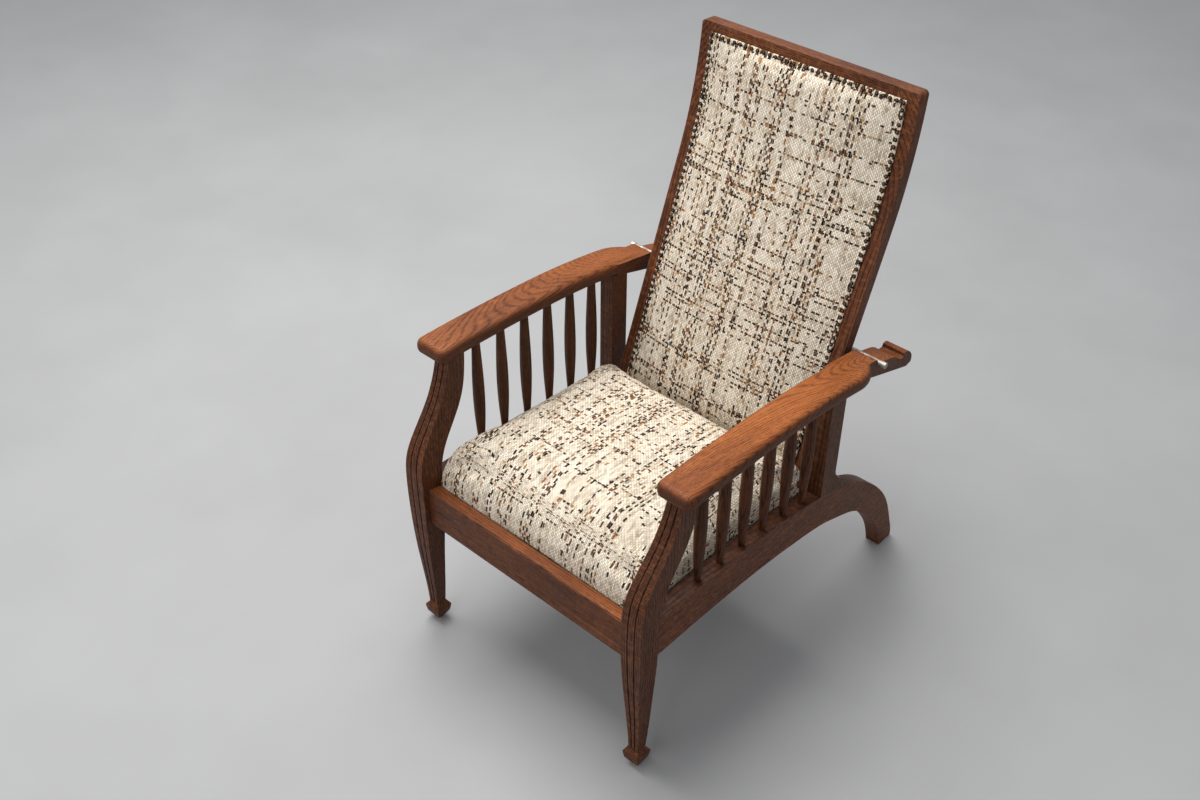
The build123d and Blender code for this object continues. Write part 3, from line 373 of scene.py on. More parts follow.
def oak(name, grain, heart, slant=(0.0, 0.0), ring=0.0042, dark=1.0, painted_top_light=0.0, fleck=0.5, run=42.0,
        figure=1.0, painted_shade_and_dust=0.0):
    """Fumed oak: rings round a heart line that runs along the grain, drawn out by a slant, open pores in
    the early wood, pale flecks of the rays, and arrises that are partly worn and partly lit by a painted
    sheen. Where they look up, some pieces are brighter by painted light, and others darker by painted
    shade with some dust."""
    f = Finish(name)
    turn = GRAIN_TURNS[grain]
    centred = f.node("VectorMath", {0: f.object_place(), 1: heart}, operation="SUBTRACT").outputs[0]
    turned = f.node("Mapping", {"Vector": centred, "Rotation": turn}).outputs[0]
    board = f.node("Mapping", {"Vector": turned, "Rotation": (slant[0], slant[1], 0.0)}).outputs[0]
    sway = f.noise(turned, (5.0, 5.0, 1.6), 2.0, 0.55, colour=True)
    sway = f.node("VectorMath", {0: sway, 1: (0.5, 0.5, 0.5)}, operation="SUBTRACT").outputs[0]
    sway = f.node("VectorMath", {0: sway, 1: (0.022, 0.022, 0.0)}, operation="MULTIPLY").outputs[0]
    board = f.node("VectorMath", {0: board, 1: sway}, operation="ADD").outputs[0]
    flat = f.node("VectorMath", {0: board, 1: (1.0, 1.0, 0.0)}, operation="MULTIPLY").outputs[0]
    radius = f.node("VectorMath", {0: flat}, operation="LENGTH").outputs["Value"]
    growth = f.noise(board, (60.0, 60.0, 2.0), 1.0)
    phase = f.math("FRACT", f.add(f.math("DIVIDE", radius, ring), f.times(growth, 0.9)))
    early = f.steps(f.math("ABSOLUTE", f.add(phase, -0.5)), 0.22, 0.47)
    coarse = f.steps(f.noise(board, (620.0, 620.0, run), 1.0, 0.5), 0.42, 0.60)
    pore = f.noise(board, (1100.0, 1100.0, 50.0), 1.0, 0.5)
    pore = f.math("MAXIMUM", f.times(early, coarse), f.times(f.steps(pore, 0.54, 0.68), 0.55))
    fibre = f.noise(board, (520.0, 520.0, 9.0), 2.0, 0.6)
    streak = f.noise(board, (120.0, 120.0, 4.0), 2.0, 0.6)
    cloud = f.noise(turned, (9.0, 9.0, 3.2), 3.0, 0.6)
    ray = f.noise(board, (60.0, 330.0, 105.0), 2.0, 0.6)
    ray = f.times(f.steps(ray, 0.50, 0.60), fleck)
    tone = f.add(f.times(early, -0.07), f.times(fibre, 0.30), f.times(streak, 0.30), f.times(cloud, 0.38),
                 0.04)
    tone = f.add(tone, f.times(ray, 0.24), f.times(pore, -0.29 * figure))
    body = f.colours(tone, [
        (0.0, (0.0080 * dark, 0.0028 * dark, 0.0013 * dark)),
        (0.30, (0.0450 * dark, 0.0140 * dark, 0.0056 * dark)),
        (0.55, (0.1220 * dark, 0.0380 * dark, 0.0135 * dark)),
        (0.80, (0.2350 * dark, 0.0810 * dark, 0.0285 * dark)),
        (1.0, (0.3600 * dark, 0.1400 * dark, 0.0530 * dark)),
    ])
    up = f.node("SeparateXYZ", {0: f.object_normal()}).outputs[2]
    # Painted shade with some dust: faces that look up are darkened towards a dark brown, by the given
    # share.
    if painted_shade_and_dust:
        body = f.mix(f.times(f.steps(up, 0.5, 0.95), painted_shade_and_dust), body, (0.020, 0.0075, 0.0040, 1.0))
    # Painted light: faces that look up are brightened towards a lighter, more orange colour, by the given
    # share.
    if painted_top_light:
        bright = f.colours(tone, [
            (0.0, (0.032, 0.0090, 0.0038)),
            (0.35, (0.150, 0.0400, 0.0105)),
            (0.62, (0.325, 0.0990, 0.0240)),
            (1.0, (0.510, 0.1950, 0.0560)),
        ])
        share = f.times(f.steps(up, 0.50, 0.98), f.steps(cloud, 0.20, 0.62, 0.75, 1.0), painted_top_light)
        body = f.mix(share, body, bright)
    rounded = f.node("Bevel", {"Radius": 0.0024}, samples=6).outputs[0]
    sharp = f.node("NewGeometry").outputs["Normal"]
    edge = f.node("VectorMath", {0: rounded, 1: sharp}, operation="DOT_PRODUCT").outputs["Value"]
    # Arrises lighter and greyish: partly real wear, partly a painted sheen of light on the edges.
    rubbed = f.noise(turned, (60.0, 60.0, 60.0), 3.0, 0.7)
    wear_and_sheen = f.times(f.steps(edge, 0.985, 0.90), f.steps(rubbed, 0.40, 0.62))
    body = f.mix(f.times(wear_and_sheen, 0.42), body, (0.33, 0.185, 0.125, 1.0))
    rough = f.add(f.times(fibre, 0.16), f.times(pore, 0.22), f.times(cloud, 0.14), 0.30)
    height = f.add(f.times(pore, -1.0), f.times(fibre, 0.22), f.times(early, -0.18))
    normal = f.bump(height, 0.00045, 0.8, rounded)
    return f.surface(body, rough, normal, ior=1.5, specular_ior_level=0.17, coat_weight=0.025,
                     coat_roughness=0.30)


def plain_wood(name, grain, heart):
    """Plain beech under the seat: faint straight figure and short brown rays."""
    f = Finish(name)
    centred = f.node("VectorMath", {0: f.object_place(), 1: heart}, operation="SUBTRACT").outputs[0]
    board = f.node("Mapping", {"Vector": centred, "Rotation": GRAIN_TURNS[grain]}).outputs[0]
    streak = f.noise(board, (140.0, 140.0, 4.0), 3.0, 0.6)
    ray = f.steps(f.noise(board, (500.0, 900.0, 260.0), 1.0), 0.58, 0.68)
    cloud = f.noise(board, (8.0, 8.0, 4.0), 3.0)
    tone = f.add(f.times(streak, 0.6), f.times(cloud, 0.5), f.times(ray, -0.35), -0.05)
    body = f.colours(tone, [
        (0.0, (0.10, 0.052, 0.022)), (0.45, (0.30, 0.175, 0.082)), (1.0, (0.47, 0.31, 0.165)),
    ])
    rounded = f.node("Bevel", {"Radius": 0.0015}, samples=4).outputs[0]
    normal = f.bump(f.add(streak, f.times(ray, -0.4)), 0.0004, 0.5, rounded)
    return f.surface(body, f.add(f.times(streak, 0.2), 0.5), normal, ior=1.5)


def slub_lines(f, across, along, number, pitch, run, share, lines, bands, fill):
    """Coloured slubs of one set of yarns. A steady draw picks some of the lanes, more in broad bands, and
    each picked yarn shows as a dash once in every run, where it floats over the others. Gives where a dash
    shows, its colour draw and its rounded height."""
    lane = f.math("DIVIDE", across, pitch)
    lane_index = f.math("FLOOR", lane)
    lane_place = f.add(f.times(f.math("FRACT", lane), 2.0), -1.0)
    band_place = f.add(f.times(lane_index, bands), number)
    band = f.node("TexNoise", {"W": band_place, "Scale": 1.0, "Detail": 1.0},
                  noise_dimensions="1D").outputs[0]
    picked = f.math("LESS_THAN", f.random(lane_index, number, 3.0),
                    f.steps(band, 0.38, 0.56, 0.06, lines))
    cell = f.add(f.math("DIVIDE", along, run), f.random(lane_index, number, 11.0))
    cell_index = f.math("FLOOR", cell)
    cell_place = f.math("FRACT", cell)
    draw = f.random(lane_index, cell_index, number)
    stretch_place = f.add(f.times(along, 11.0), f.times(lane_index, 7.31))
    stretch = f.node("TexNoise", {"W": stretch_place, "Scale": 1.0, "Detail": 1.0},
                     noise_dimensions="1D").outputs[0]
    chance = f.add(f.times(picked, f.steps(stretch, 0.30, 0.60, 0.45, 1.0), fill), 0.022)
    shown = f.math("LESS_THAN", draw, chance)
    length = f.add(f.times(f.random(lane_index, cell_index, number + 5.0), 0.22), share)
    start = f.times(f.random(lane_index, cell_index, number + 6.0), 0.12)
    thick = f.add(f.times(f.random(lane_index, cell_index, number + 7.0), 0.22), 0.82)
    inside = f.times(f.math("LESS_THAN", f.math("ABSOLUTE", lane_place), thick),
                     f.math("GREATER_THAN", cell_place, start),
                     f.math("LESS_THAN", cell_place, f.add(start, length)))
    hue = f.math("FRACT", f.add(f.times(f.random(lane_index, number, 23.0), 0.45),
                                f.times(f.random(cell_index, lane_index, number + 9.0), 0.70)))
    bulge = f.math("SQRT", f.math("MAXIMUM", f.math("SUBTRACT", 1.0, f.times(lane_place, lane_place)), 0.0))
    return f.times(shown, inside), hue, bulge


# colours of the slubs, each from its share of the draw on
SLUB_SHADES = [
    (0.0, (0.0090, 0.0038, 0.0022)), (0.32, (0.0300, 0.0115, 0.0055)), (0.52, (0.0980, 0.0370, 0.0130)),
    (0.67, (0.2300, 0.0850, 0.0260)), (0.76, (0.3100, 0.1550, 0.0500)), (0.82, (0.1000, 0.0760, 0.0600)),
    (0.88, (0.3800, 0.2600, 0.1450)),
]
WARP_PITCH = 0.0034
WEFT_PITCH = 0.0037


def tweed(name, density):
    """Cream basket-woven tweed: long warp stitches in half-bond over a finer weft, with slubs of black,
    brown, rust, ochre and grey along loose lines both ways. Reads the piece's place on the flat cloth."""
    f = Finish(name)
    flat = f.node("UVMap", uv_map="cloth").outputs[0]
    ripple = f.noise(flat, (70.0, 70.0, 1.0), 2.0, 0.6, colour=True)
    ripple = f.node("VectorMath", {0: ripple, 1: (0.5, 0.5, 0.5)}, operation="SUBTRACT").outputs[0]
    ripple = f.node("VectorMath", {0: ripple, 1: (0.0022, 0.0022, 0.0)}, operation="MULTIPLY").outputs[0]
    flat = f.node("VectorMath", {0: flat, 1: ripple}, operation="ADD").outputs[0]
    split = f.node("SeparateXYZ", {0: flat})
    across, along = split.outputs[0], split.outputs[1]
    # The ground weave
    column = f.math("DIVIDE", across, WARP_PITCH)
    column_index = f.math("FLOOR", column)
    column_place = f.add(f.times(f.math("FRACT", column), 2.0), -1.0)
    half = f.times(f.math("FLOORED_MODULO", column_index, 2.0), 0.5)
    row = f.add(f.math("DIVIDE", along, 2 * WEFT_PITCH), half)
    row_index = f.math("FLOOR", row)
    row_place = f.add(f.times(f.math("FRACT", row), 2.0), -1.0)
    side_fall = f.math("SUBTRACT", 1.0, f.times(column_place, column_place))
    side_round = f.math("SQRT", f.math("MAXIMUM", side_fall, 0.0))
    end_round = f.math("SUBTRACT", 1.0, f.math("POWER", f.math("ABSOLUTE", row_place), 4.0))
    warp_height = f.times(side_round, end_round)
    weft_place = f.math("PINGPONG", f.math("DIVIDE", along, WEFT_PITCH), 0.5)
    weft_height = f.times(f.math("SUBTRACT", 1.0, f.times(weft_place, weft_place, 4.0)), 0.62)
    over = f.math("GREATER_THAN", warp_height, weft_height)
    ground = f.math("MAXIMUM", warp_height, weft_height)
    stitch = f.random(column_index, row_index, 2.0)
    column_tone = f.random(column_index, 1.0, 7.0)
    patch = f.noise(flat, (26.0, 20.0, 1.0), 1.0)
    tone = f.add(f.times(stitch, 0.48), f.times(column_tone, 0.20), f.times(patch, 0.44),
                 f.times(over, 0.16), -0.14)
    cream = f.colours(tone, [
        (0.0, (0.25, 0.180, 0.122)), (0.28, (0.52, 0.425, 0.318)), (0.58, (0.80, 0.700, 0.560)),
        (1.0, (0.97, 0.890, 0.770)),
    ])
    # Painted shade: the cream is darkened in the hollows between the stitches, by the weave's height.
    painted_weave_shade = f.steps(ground, 0.14, 0.86, 0.10, 1.0)
    grey = f.node("CombineColor", {0: painted_weave_shade, 1: painted_weave_shade, 2: painted_weave_shade}).outputs[0]
    cream = f.mix(1.0, cream, grey, "MULTIPLY")
    # The slubs
    up_shown, up_hue, up_round = slub_lines(
        f, across, along, number=31.0, pitch=0.0042, run=0.0160, share=0.50, lines=0.56, bands=0.062,
        fill=0.94 * density)
    low_shown, low_hue, low_round = slub_lines(
        f, along, across, number=57.0, pitch=0.0043, run=0.0098, share=0.60, lines=0.30, bands=0.085,
        fill=0.84 * density)
    marl = f.noise(flat, (620.0, 300.0, 1.0), 2.0, 0.7)
    marl_share = f.steps(marl, 0.50, 0.64, 1.0, 0.78)
    warp_slub = f.colours(up_hue, SLUB_SHADES, "CONSTANT")
    weft_slub = f.colours(low_hue, SLUB_SHADES, "CONSTANT")
    body = f.mix(f.times(low_shown, marl_share), cream, weft_slub)
    body = f.mix(f.times(up_shown, marl_share), body, warp_slub)
    fluff = f.noise(flat, (1500.0, 1500.0, 1.0), 3.0, 0.7)
    raised = f.math("MAXIMUM", f.times(up_shown, up_round), f.times(low_shown, low_round))
    height = f.add(f.times(ground, 0.8), f.times(raised, 0.5), f.times(fluff, 0.45))
    normal = f.bump(height, 0.0014, 0.9)
    return f.surface(body, f.add(f.times(fluff, 0.1), 0.86), normal, specular_ior_level=0.05)


def strap_weave(name, stripe):
    """Jute web: a close plain weave with two darker lines near the edges of each web."""
    f = Finish(name)
    flat = f.node("UVMap", uv_map="cloth").outputs[0]
    split = f.node("SeparateXYZ", {0: flat})
    across, along = split.outputs[0], split.outputs[1]
    column = f.math("DIVIDE", across, 0.0021)
    row = f.math("DIVIDE", along, 0.0017)
    check = f.math("FLOORED_MODULO", f.add(f.math("FLOOR", column), f.math("FLOOR", row)), 2.0)
    column_round = f.math("PINGPONG", column, 0.5)
    row_round = f.math("PINGPONG", row, 0.5)
    ground = f.node("Mix", {0: check, 2: column_round, 3: row_round}).outputs[0]
    draw = f.random(f.math("FLOOR", column), f.math("FLOOR", row), 4.0)
    fluff = f.noise(flat, (1100.0, 1100.0, 1.0), 3.0, 0.7)
    # Painted shade: the colour darkens with the weave's height, between the yarns.
    tone = f.add(f.times(draw, 0.35), f.times(ground, 0.7), f.times(fluff, 0.35), -0.1)
    body = f.colours(tone, [
        (0.0, (0.085, 0.055, 0.028)), (0.5, (0.31, 0.22, 0.12)), (1.0, (0.50, 0.38, 0.23)),
    ])
    middle = f.math("ABSOLUTE", f.add(f.math("FRACT", f.math("DIVIDE", across, WEB_WIDTH)), -0.5))
    line = f.math("LESS_THAN", f.math("ABSOLUTE", f.add(middle, -0.36)), 0.028)
    body = f.mix(f.times(line, 0.8), body, (*stripe, 1.0))
    normal = f.bump(f.add(ground, f.times(fluff, 0.3)), 0.0007, 0.8)
    return f.surface(body, f.add(f.times(fluff, 0.1), 0.85), normal, sheen_weight=0.15)


def open_weave(name, pitch, pale, deep):
    """Hessian: loose round yarns in a plain weave, each pitch wide, with painted shade darkening the holes
    and hollows between them.
    """
    f = Finish(name)
    flat = f.node("UVMap", uv_map="cloth").outputs[0]
    ripple = f.noise(flat, (120.0, 120.0, 1.0), 2.0, 0.6, colour=True)
    ripple = f.node("VectorMath", {0: ripple, 1: (0.0009, 0.0009, 0.0)}, operation="MULTIPLY").outputs[0]
    flat = f.node("VectorMath", {0: flat, 1: ripple}, operation="ADD").outputs[0]
    split = f.node("SeparateXYZ", {0: flat})
    column = f.math("DIVIDE", split.outputs[0], pitch)
    row = f.math("DIVIDE", split.outputs[1], pitch)
    column_round = f.times(f.math("PINGPONG", column, 0.5), 2.0)
    row_round = f.times(f.math("PINGPONG", row, 0.5), 2.0)
    check = f.math("FLOORED_MODULO", f.add(f.math("FLOOR", column), f.math("FLOOR", row)), 2.0)
    ground = f.math("MAXIMUM", f.add(column_round, f.times(check, 0.25)),
                    f.add(row_round, f.times(check, -0.25)))
    slub = f.random(f.math("FLOOR", column), 3.0, 1.0)
    fluff = f.noise(flat, (1400.0, 1400.0, 1.0), 3.0, 0.7)
    # Painted shade: the colour follows the weave's height, darkest between the yarns.
    tone = f.add(f.times(ground, 0.62), f.times(slub, 0.2), f.times(fluff, 0.3), -0.15)
    body = f.colours(tone, [(0.0, deep), (0.55, pale), (1.0, tuple(1.5 * value for value in pale))])
    normal = f.bump(f.add(ground, f.times(fluff, 0.25)), 0.0006, 0.8)
    return f.surface(body, f.add(f.times(fluff, 0.1), 0.86), normal, sheen_weight=0.15)


def metal(name, bright, stain, rough, spots, share=1.0):
    """Old metal: bright where it is rubbed, stained in clouds and spots, finely scratched round its length.
    The share is how much of its face is bare metal."""
    f = Finish(name)
    place = f.object_place()
    cloud = f.noise(place, (70.0, 70.0, 70.0), 4.0, 0.65)
    speck = f.noise(place, (520.0, 520.0, 520.0), 2.0, 0.6)
    line = f.noise(place, (900.0, 60.0, 60.0), 2.0, 0.6)
    dull = f.add(f.steps(cloud, 0.42, 0.66), f.times(f.steps(speck, 0.55, 0.70), spots))
    dull = f.math("MINIMUM", dull, 1.0)
    body = f.mix(dull, (*bright, 1.0), (*stain, 1.0))
    rounded = f.node("Bevel", {"Radius": 0.0006}, samples=4).outputs[0]
    normal = f.bump(f.add(line, f.times(speck, 0.5)), 0.00012, 0.5, rounded)
    rough = f.add(f.times(dull, 0.22), f.times(line, 0.10), rough)
    return f.surface(body, rough, normal, metallic=share)


def nail_bronze(name):
    """Nail heads: rubbed on the crown, dark round the rim where the bronze has turned."""
    f = Finish(name)
    face = f.object_normal()
    outward = (0.0, -math.cos(BACK_LEAN * 0.7), math.sin(BACK_LEAN * 0.7))
    crown = f.node("VectorMath", {0: face, 1: outward}, operation="DOT_PRODUCT").outputs["Value"]
    speck = f.noise(f.object_place(), (600.0, 600.0, 600.0), 3.0, 0.6)
    share = f.times(f.steps(crown, 0.88, 0.99), f.steps(speck, 0.25, 0.60, 0.5, 1.0))
    body = f.mix(share, (0.022, 0.014, 0.010, 1.0), (0.145, 0.100, 0.062, 1.0))
    normal = f.bump(speck, 0.0002, 0.5)
    rough = f.add(f.times(share, -0.18), f.times(speck, 0.15), 0.42)
    return f.surface(body, rough, normal, metallic=0.85)


def floor_finish():
    """Plain pale floor with a soft, barely varied tone."""
    f = Finish("pale_floor")
    cloud = f.noise(f.object_place(), (1.6, 1.6, 1.0), 3.0, 0.6)
    body = f.colours(cloud, [(0.25, (0.300, 0.302, 0.308)), (0.75, (0.345, 0.348, 0.354))])
    return f.surface(body, f.add(f.times(cloud, 0.1), 0.62))


# The stage: floor, light and camera

def make_floor():
    """A square of floor under the chair: a flat grid of equal steps both ways."""
    steps = np.linspace(-16.0, 16.0, 15)
    x, y = np.meshgrid(steps, steps)
    points = np.stack([x, y, np.zeros_like(x)], -1).reshape(-1, 3)
    floor = mesh_piece("floor", points, grid_faces(*x.shape), floor_finish())


def soft_light(name, place, target, size, power, colour):
    """A square lamp with soft edges that looks at a target."""
    lamp = bpy.data.lights.new(name, "AREA")
    lamp.shape = "SQUARE"
    lamp.size = size
    lamp.energy = power
    lamp.color = colour
    holder = bpy.data.objects.new(name, lamp)
    towards = Vector(target) - Vector(place)
    holder.rotation_euler = towards.to_track_quat("-Z", "Y").to_euler()
    holder.location = place
    scene.collection.objects.link(holder)


def light_studio():
    """One large lamp above on the left, a weaker one in front, and a pale surround."""
    soft_light("lamp_above", (-1.3, 0.2, 4.0), (0.0, 0.0, 0.3), 3.2, 235.0, (1.0, 0.985, 0.96))
    soft_light("lamp_front", (0.2, -3.6, 2.4), (0.0, 0.0, 0.4), 2.6, 46.0, (1.0, 0.99, 0.97))
    world = bpy.data.worlds.new("pale_surround")
    world.use_nodes = True
    world.node_tree.nodes["Background"].inputs["Color"].default_value = (0.90, 0.92, 0.95, 1.0)
    world.node_tree.nodes["Background"].inputs["Strength"].default_value = 0.50
    scene.world = world
    scene.view_settings.view_transform = "Standard"
    scene.view_settings.look = "None"


def set_camera():
    """The photograph's camera: a place, two angles, a small roll and a lens."""
    azimuth, elevation, roll = (math.radians(value) for value in CAMERA_ANGLES)
    back = np.array([math.sin(azimuth) * math.cos(elevation), -math.cos(azimuth) * math.cos(elevation),
                     math.sin(elevation)])
    right = np.array([math.cos(azimuth), math.sin(azimuth), 0.0])
    above = np.cross(back, right)
    side = right * math.cos(roll) + above * math.sin(roll)
    upward = above * math.cos(roll) - right * math.sin(roll)
    turned = np.eye(4)
    turned[:3, :3] = np.stack([side, upward, back], -1)
    turned[:3, 3] = CAMERA_PLACE
    lens = bpy.data.cameras.new("camera")
    lens.sensor_fit = "HORIZONTAL"
    lens.sensor_width = CAMERA_SENSOR
    lens.lens = CAMERA_LENS
    camera = bpy.data.objects.new("camera", lens)
    scene.collection.objects.link(camera)
    camera.matrix_world = Matrix(turned.tolist())
    scene.camera = camera


# Upholstery

def smooth_rows(rows, count):
    """Rows of numbers carried through by a smooth curve, evenly spaced by their distance from each other:
    between two rows, the cubic that has both rows and the mean slope at each."""
    rows = np.asarray(rows, float)
    run = np.concatenate([[0], np.cumsum(np.linalg.norm(np.diff(rows, axis=0), axis=1))])
    slope = np.gradient(rows, run, axis=0)
    steps = np.linspace(0, run[-1], count)
    number = np.clip(np.searchsorted(run, steps, side="right") - 1, 0, len(run) - 2)
    width = (run[number + 1] - run[number])[:, None]
    share = (steps - run[number])[:, None] / width
    rise, back_share = share * share * (3 - 2 * share), share - 1
    return (rows[number] * (1 - rise) + rows[number + 1] * rise
            + width * share * back_share * (back_share * slope[number] + share * slope[number + 1]))


def round_outline(arc_steps=8, side_steps=40):
    """A closed outline of four round corners and four sides, as the sign that each point takes the corner
    centre's place with, and its direction from there."""
    sign_x, sign_y, turn_x, turn_y = [], [], [], []
    signs = np.array([(1, 1), (-1, 1), (-1, -1), (1, -1)], float)
    run = np.linspace(0, 1, side_steps + 1)[:-1]
    for number in range(4):
        arc = np.linspace(number, number + 1, arc_steps + 1)[:-1] * math.pi / 2
        turn = (number + 1) * math.pi / 2
        corner, following = signs[number], signs[(number + 1) % 4]
        sign_x += [np.full(arc_steps, corner[0]), corner[0] + (following[0] - corner[0]) * run]
        sign_y += [np.full(arc_steps, corner[1]), corner[1] + (following[1] - corner[1]) * run]
        turn_x += [np.cos(arc), np.full(side_steps, math.cos(turn))]
        turn_y += [np.sin(arc), np.full(side_steps, math.sin(turn))]
    return (np.concatenate(values) for values in (sign_x, sign_y, turn_x, turn_y))


# height share of the cushion, then how far its side, front and rear lie inside, as shares of the height,
# and the radius of its corners
CUSHION_ROWS = (
    (0.0, 0.01, 0.0, -0.02, 0.006), (0.15, -0.01, 0.0, -0.04, 0.006),
    (0.38, -0.015, 0.005, -0.05, 0.008), (0.58, -0.01, 0.045, -0.03, 0.014),
    (0.745, 0.01, 0.105, 0.04, 0.026), (0.848, 0.055, 0.18, 0.14, 0.042),
    (0.896, 0.11, 0.25, 0.26, 0.052), (0.932, 0.20, 0.37, 0.46, 0.062),
    (0.965, 0.44, 0.64, 0.84, 0.070), (0.988, 0.92, 1.10, 1.22, 0.072), (1.0, 1.44, 1.54, 1.60, 0.064),
)
CUSHION_ROW_COUNT = 72
SIDE_OVERHANG = 0.003
FRONT_OVERHANG = 0.0078
SIDE_DRAW = 0.003


def cushion_form():
    """The seat cushion as round-cornered outlines over each other: sides that draw in a little between the
    corners, a rounded shoulder and a crowned top that falls two degrees more than the seat to the rear."""
    rows = smooth_rows(CUSHION_ROWS, CUSHION_ROW_COUNT)
    height, side, front, rear, radius = (column[:, None] for column in rows.T)
    shrink = CUSHION_SHRINK * ease(0.05, 0.5, height)
    half = SEAT_HALF_WIDTH + SIDE_OVERHANG - side * CUSHION_HEIGHT - shrink
    low = front * CUSHION_HEIGHT - FRONT_OVERHANG + shrink
    high = SEAT_DEPTH + SIDE_OVERHANG - rear * CUSHION_HEIGHT - shrink
    sign_x, sign_y, turn_x, turn_y = round_outline()
    x = sign_x * (half - radius) + radius * turn_x - SIDE_DRAW * turn_x * (1 - sign_y ** 2)
    deep = (low + high) / 2 + sign_y * ((high - low) / 2 - radius) + radius * turn_y
    deep = deep - SIDE_DRAW * turn_y * (1 - sign_x ** 2)
    fall = height * deep * math.sin(math.radians(2.0))
    level = CUSHION_BASE + height * (CUSHION_HEIGHT - shrink) - fall
    return x, deep, level


def height_over_seat(points):
    """How far points lie over the seat frame's sloping top, straight up."""
    return points[:, 2] - seat_place(points[:, 1] + HALF_DEPTH - SEAT_FRONT[0], 0.0)[1]


def fit_between_wood(points):
    """Keeps the full cushion between the side rails and the front legs, and on the front rail. The room
    opens above the rails' edges and behind the legs."""
    room = ROOM_BETWEEN_RAILS + ROOM_OVER_RAILS * ease(*RAIL_EDGE_HEIGHTS, points[:, 2])
    room = np.minimum(room, ROOM_BETWEEN_LEGS + ROOM_BEHIND_LEGS * ease(*LEG_REAR_SETBACKS, points[:, 1]))
    front = FRONT_RAIL_FACE - FRONT_ROLL * ease(*FRONT_RAIL_HEIGHTS, points[:, 2])
    points[:, 0] = np.clip(points[:, 0], -room, room)
    points[:, 1] = np.maximum(points[:, 1], front)


def soft_lumps(points):
    """Faint unevenness of a stuffed top: two crossing waves and a third aslant."""
    x, y = points[:, 0], points[:, 1]
    return np.sin(x * 31 + 1.3) * np.sin(y * 27 + 0.4) + 0.6 * np.sin(x * 53 - y * 47)


def seat_cushion(finish):
    """Seat cushion: the outlines closed at top and bottom, remeshed, filled, kept between the wood and
    given the directions of its cloth."""
    x, deep, high = cushion_form()
    y, z = seat_place(deep, high)
    rows, columns = x.shape
    points = np.stack([x, y, z], -1).reshape(-1, 3)
    index = np.arange(rows * columns).reshape(rows, columns)
    following = np.roll(index, -1, axis=1)
    faces = np.stack([index[:-1], following[:-1], following[1:], index[1:]], -1)
    faces = faces.reshape(-1, 4).tolist()
    base = seat_place(deep[0].mean(), high[0].mean())
    top = seat_place(deep[-1].mean(), high[-1].mean())
    count = len(points)
    points = np.concatenate([points, [[0, *base], [0, *top]]])
    faces += [[int(index[0, k]), count, int(following[0, k])] for k in range(columns)]
    faces += [[int(index[-1, k]), int(following[-1, k]), count + 1] for k in range(columns)]
    cushion = mesh_piece("seat_upholstery", points, faces, finish)
    remesh = cushion.modifiers.new("even", "REMESH")
    remesh.mode = "VOXEL"
    remesh.voxel_size = CUSHION_VOXEL
    remesh.use_smooth_shade = True
    apply_modifiers(cushion)
    plump(cushion, ease(0.012, 0.060, height_over_seat(read_points(cushion))), CUSHION_SWELL)
    points = read_points(cushion)
    fit_between_wood(points)
    points[:, 2] += 0.0007 * soft_lumps(points) * ease(0.07, 0.11, height_over_seat(points))
    write_points(cushion, points)
    wrap_cloth(cushion)
    refine(cushion)
    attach(cushion, "frame")
    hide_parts("seat_cushion")
    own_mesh(cushion)


def wrap_cloth(cushion):
    """Cloth directions of the seat: flat on top, then on an arc round the shoulder and down, so that the
    yarns run on over the front edge and over both side edges."""
    points = read_points(cushion)
    mesh = cushion.data
    corner = np.empty(len(mesh.loops), int)
    mesh.loops.foreach_get("vertex_index", corner)
    start = np.empty(len(mesh.polygons), int)
    total = np.empty(len(mesh.polygons), int)
    mesh.polygons.foreach_get("loop_start", start)
    mesh.polygons.foreach_get("loop_total", total)
    normal = np.empty(len(mesh.polygons) * 3)
    mesh.polygons.foreach_get("normal", normal)
    normal = np.repeat(normal.reshape(-1, 3), total, axis=0)
    place = points[corner]
    x, y, z = place[:, 0], place[:, 1], place[:, 2]
    crown = seat_place(0.05, CUSHION_BASE + CUSHION_HEIGHT - SHOULDER)[1]
    fall = np.maximum(crown - z, 0)
    edge_x = SEAT_HALF_WIDTH - SHOULDER
    over_x = np.maximum(np.abs(x) - edge_x, 0)
    over_z = np.maximum(z - crown, 0)
    angle_x = np.arctan2(over_x, np.maximum(over_z, 1e-6))
    arc_x = np.sign(x) * (edge_x + angle_x * SHOULDER * 1.1 + fall)
    edge_y = SEAT_FRONT[0] - HALF_DEPTH + SHOULDER
    over_y = np.maximum(edge_y - y, 0)
    angle_y = np.arctan2(over_y, np.maximum(over_z, 1e-6))
    arc_y = edge_y - angle_y * SHOULDER * 1.1 - fall
    side = np.abs(normal[:, 0]) > np.abs(normal[:, 1])
    across = np.where(side & (over_x > 0), arc_x, x)
    along = np.where(~side & (over_y > 0), arc_y, y)
    lay_cloth(cushion, across, along)


# length share along the pad, and share of the full crown there
PAD_ROWS = np.array([
    (0, 0.25), (0.03, 0.62), (0.10, 0.92), (0.20, 0.98), (0.35, 1), (0.65, 1), (0.75, 0.97), (0.85, 0.92),
    (0.93, 0.80), (0.96, 0.60), (0.977, 0.34), (0.986, 0.06), (1.0, 0.0),
])


def pad_thickness(across, along):
    """Height of the back pad over its frame: a flat border, and a crown that is the product of a full
    curve across and the rows' curve along."""
    inner = PAD_HALF_WIDTH - PAD_BORDER
    side = np.clip(1 - np.abs(across / inner) ** 2.3, 0, 1) ** 0.80
    length = (along - PAD_LOW) / (PAD_HIGH - PAD_LOW)
    return PAD_EDGE + PAD_CROWN * side * np.interp(length, *PAD_ROWS.T)


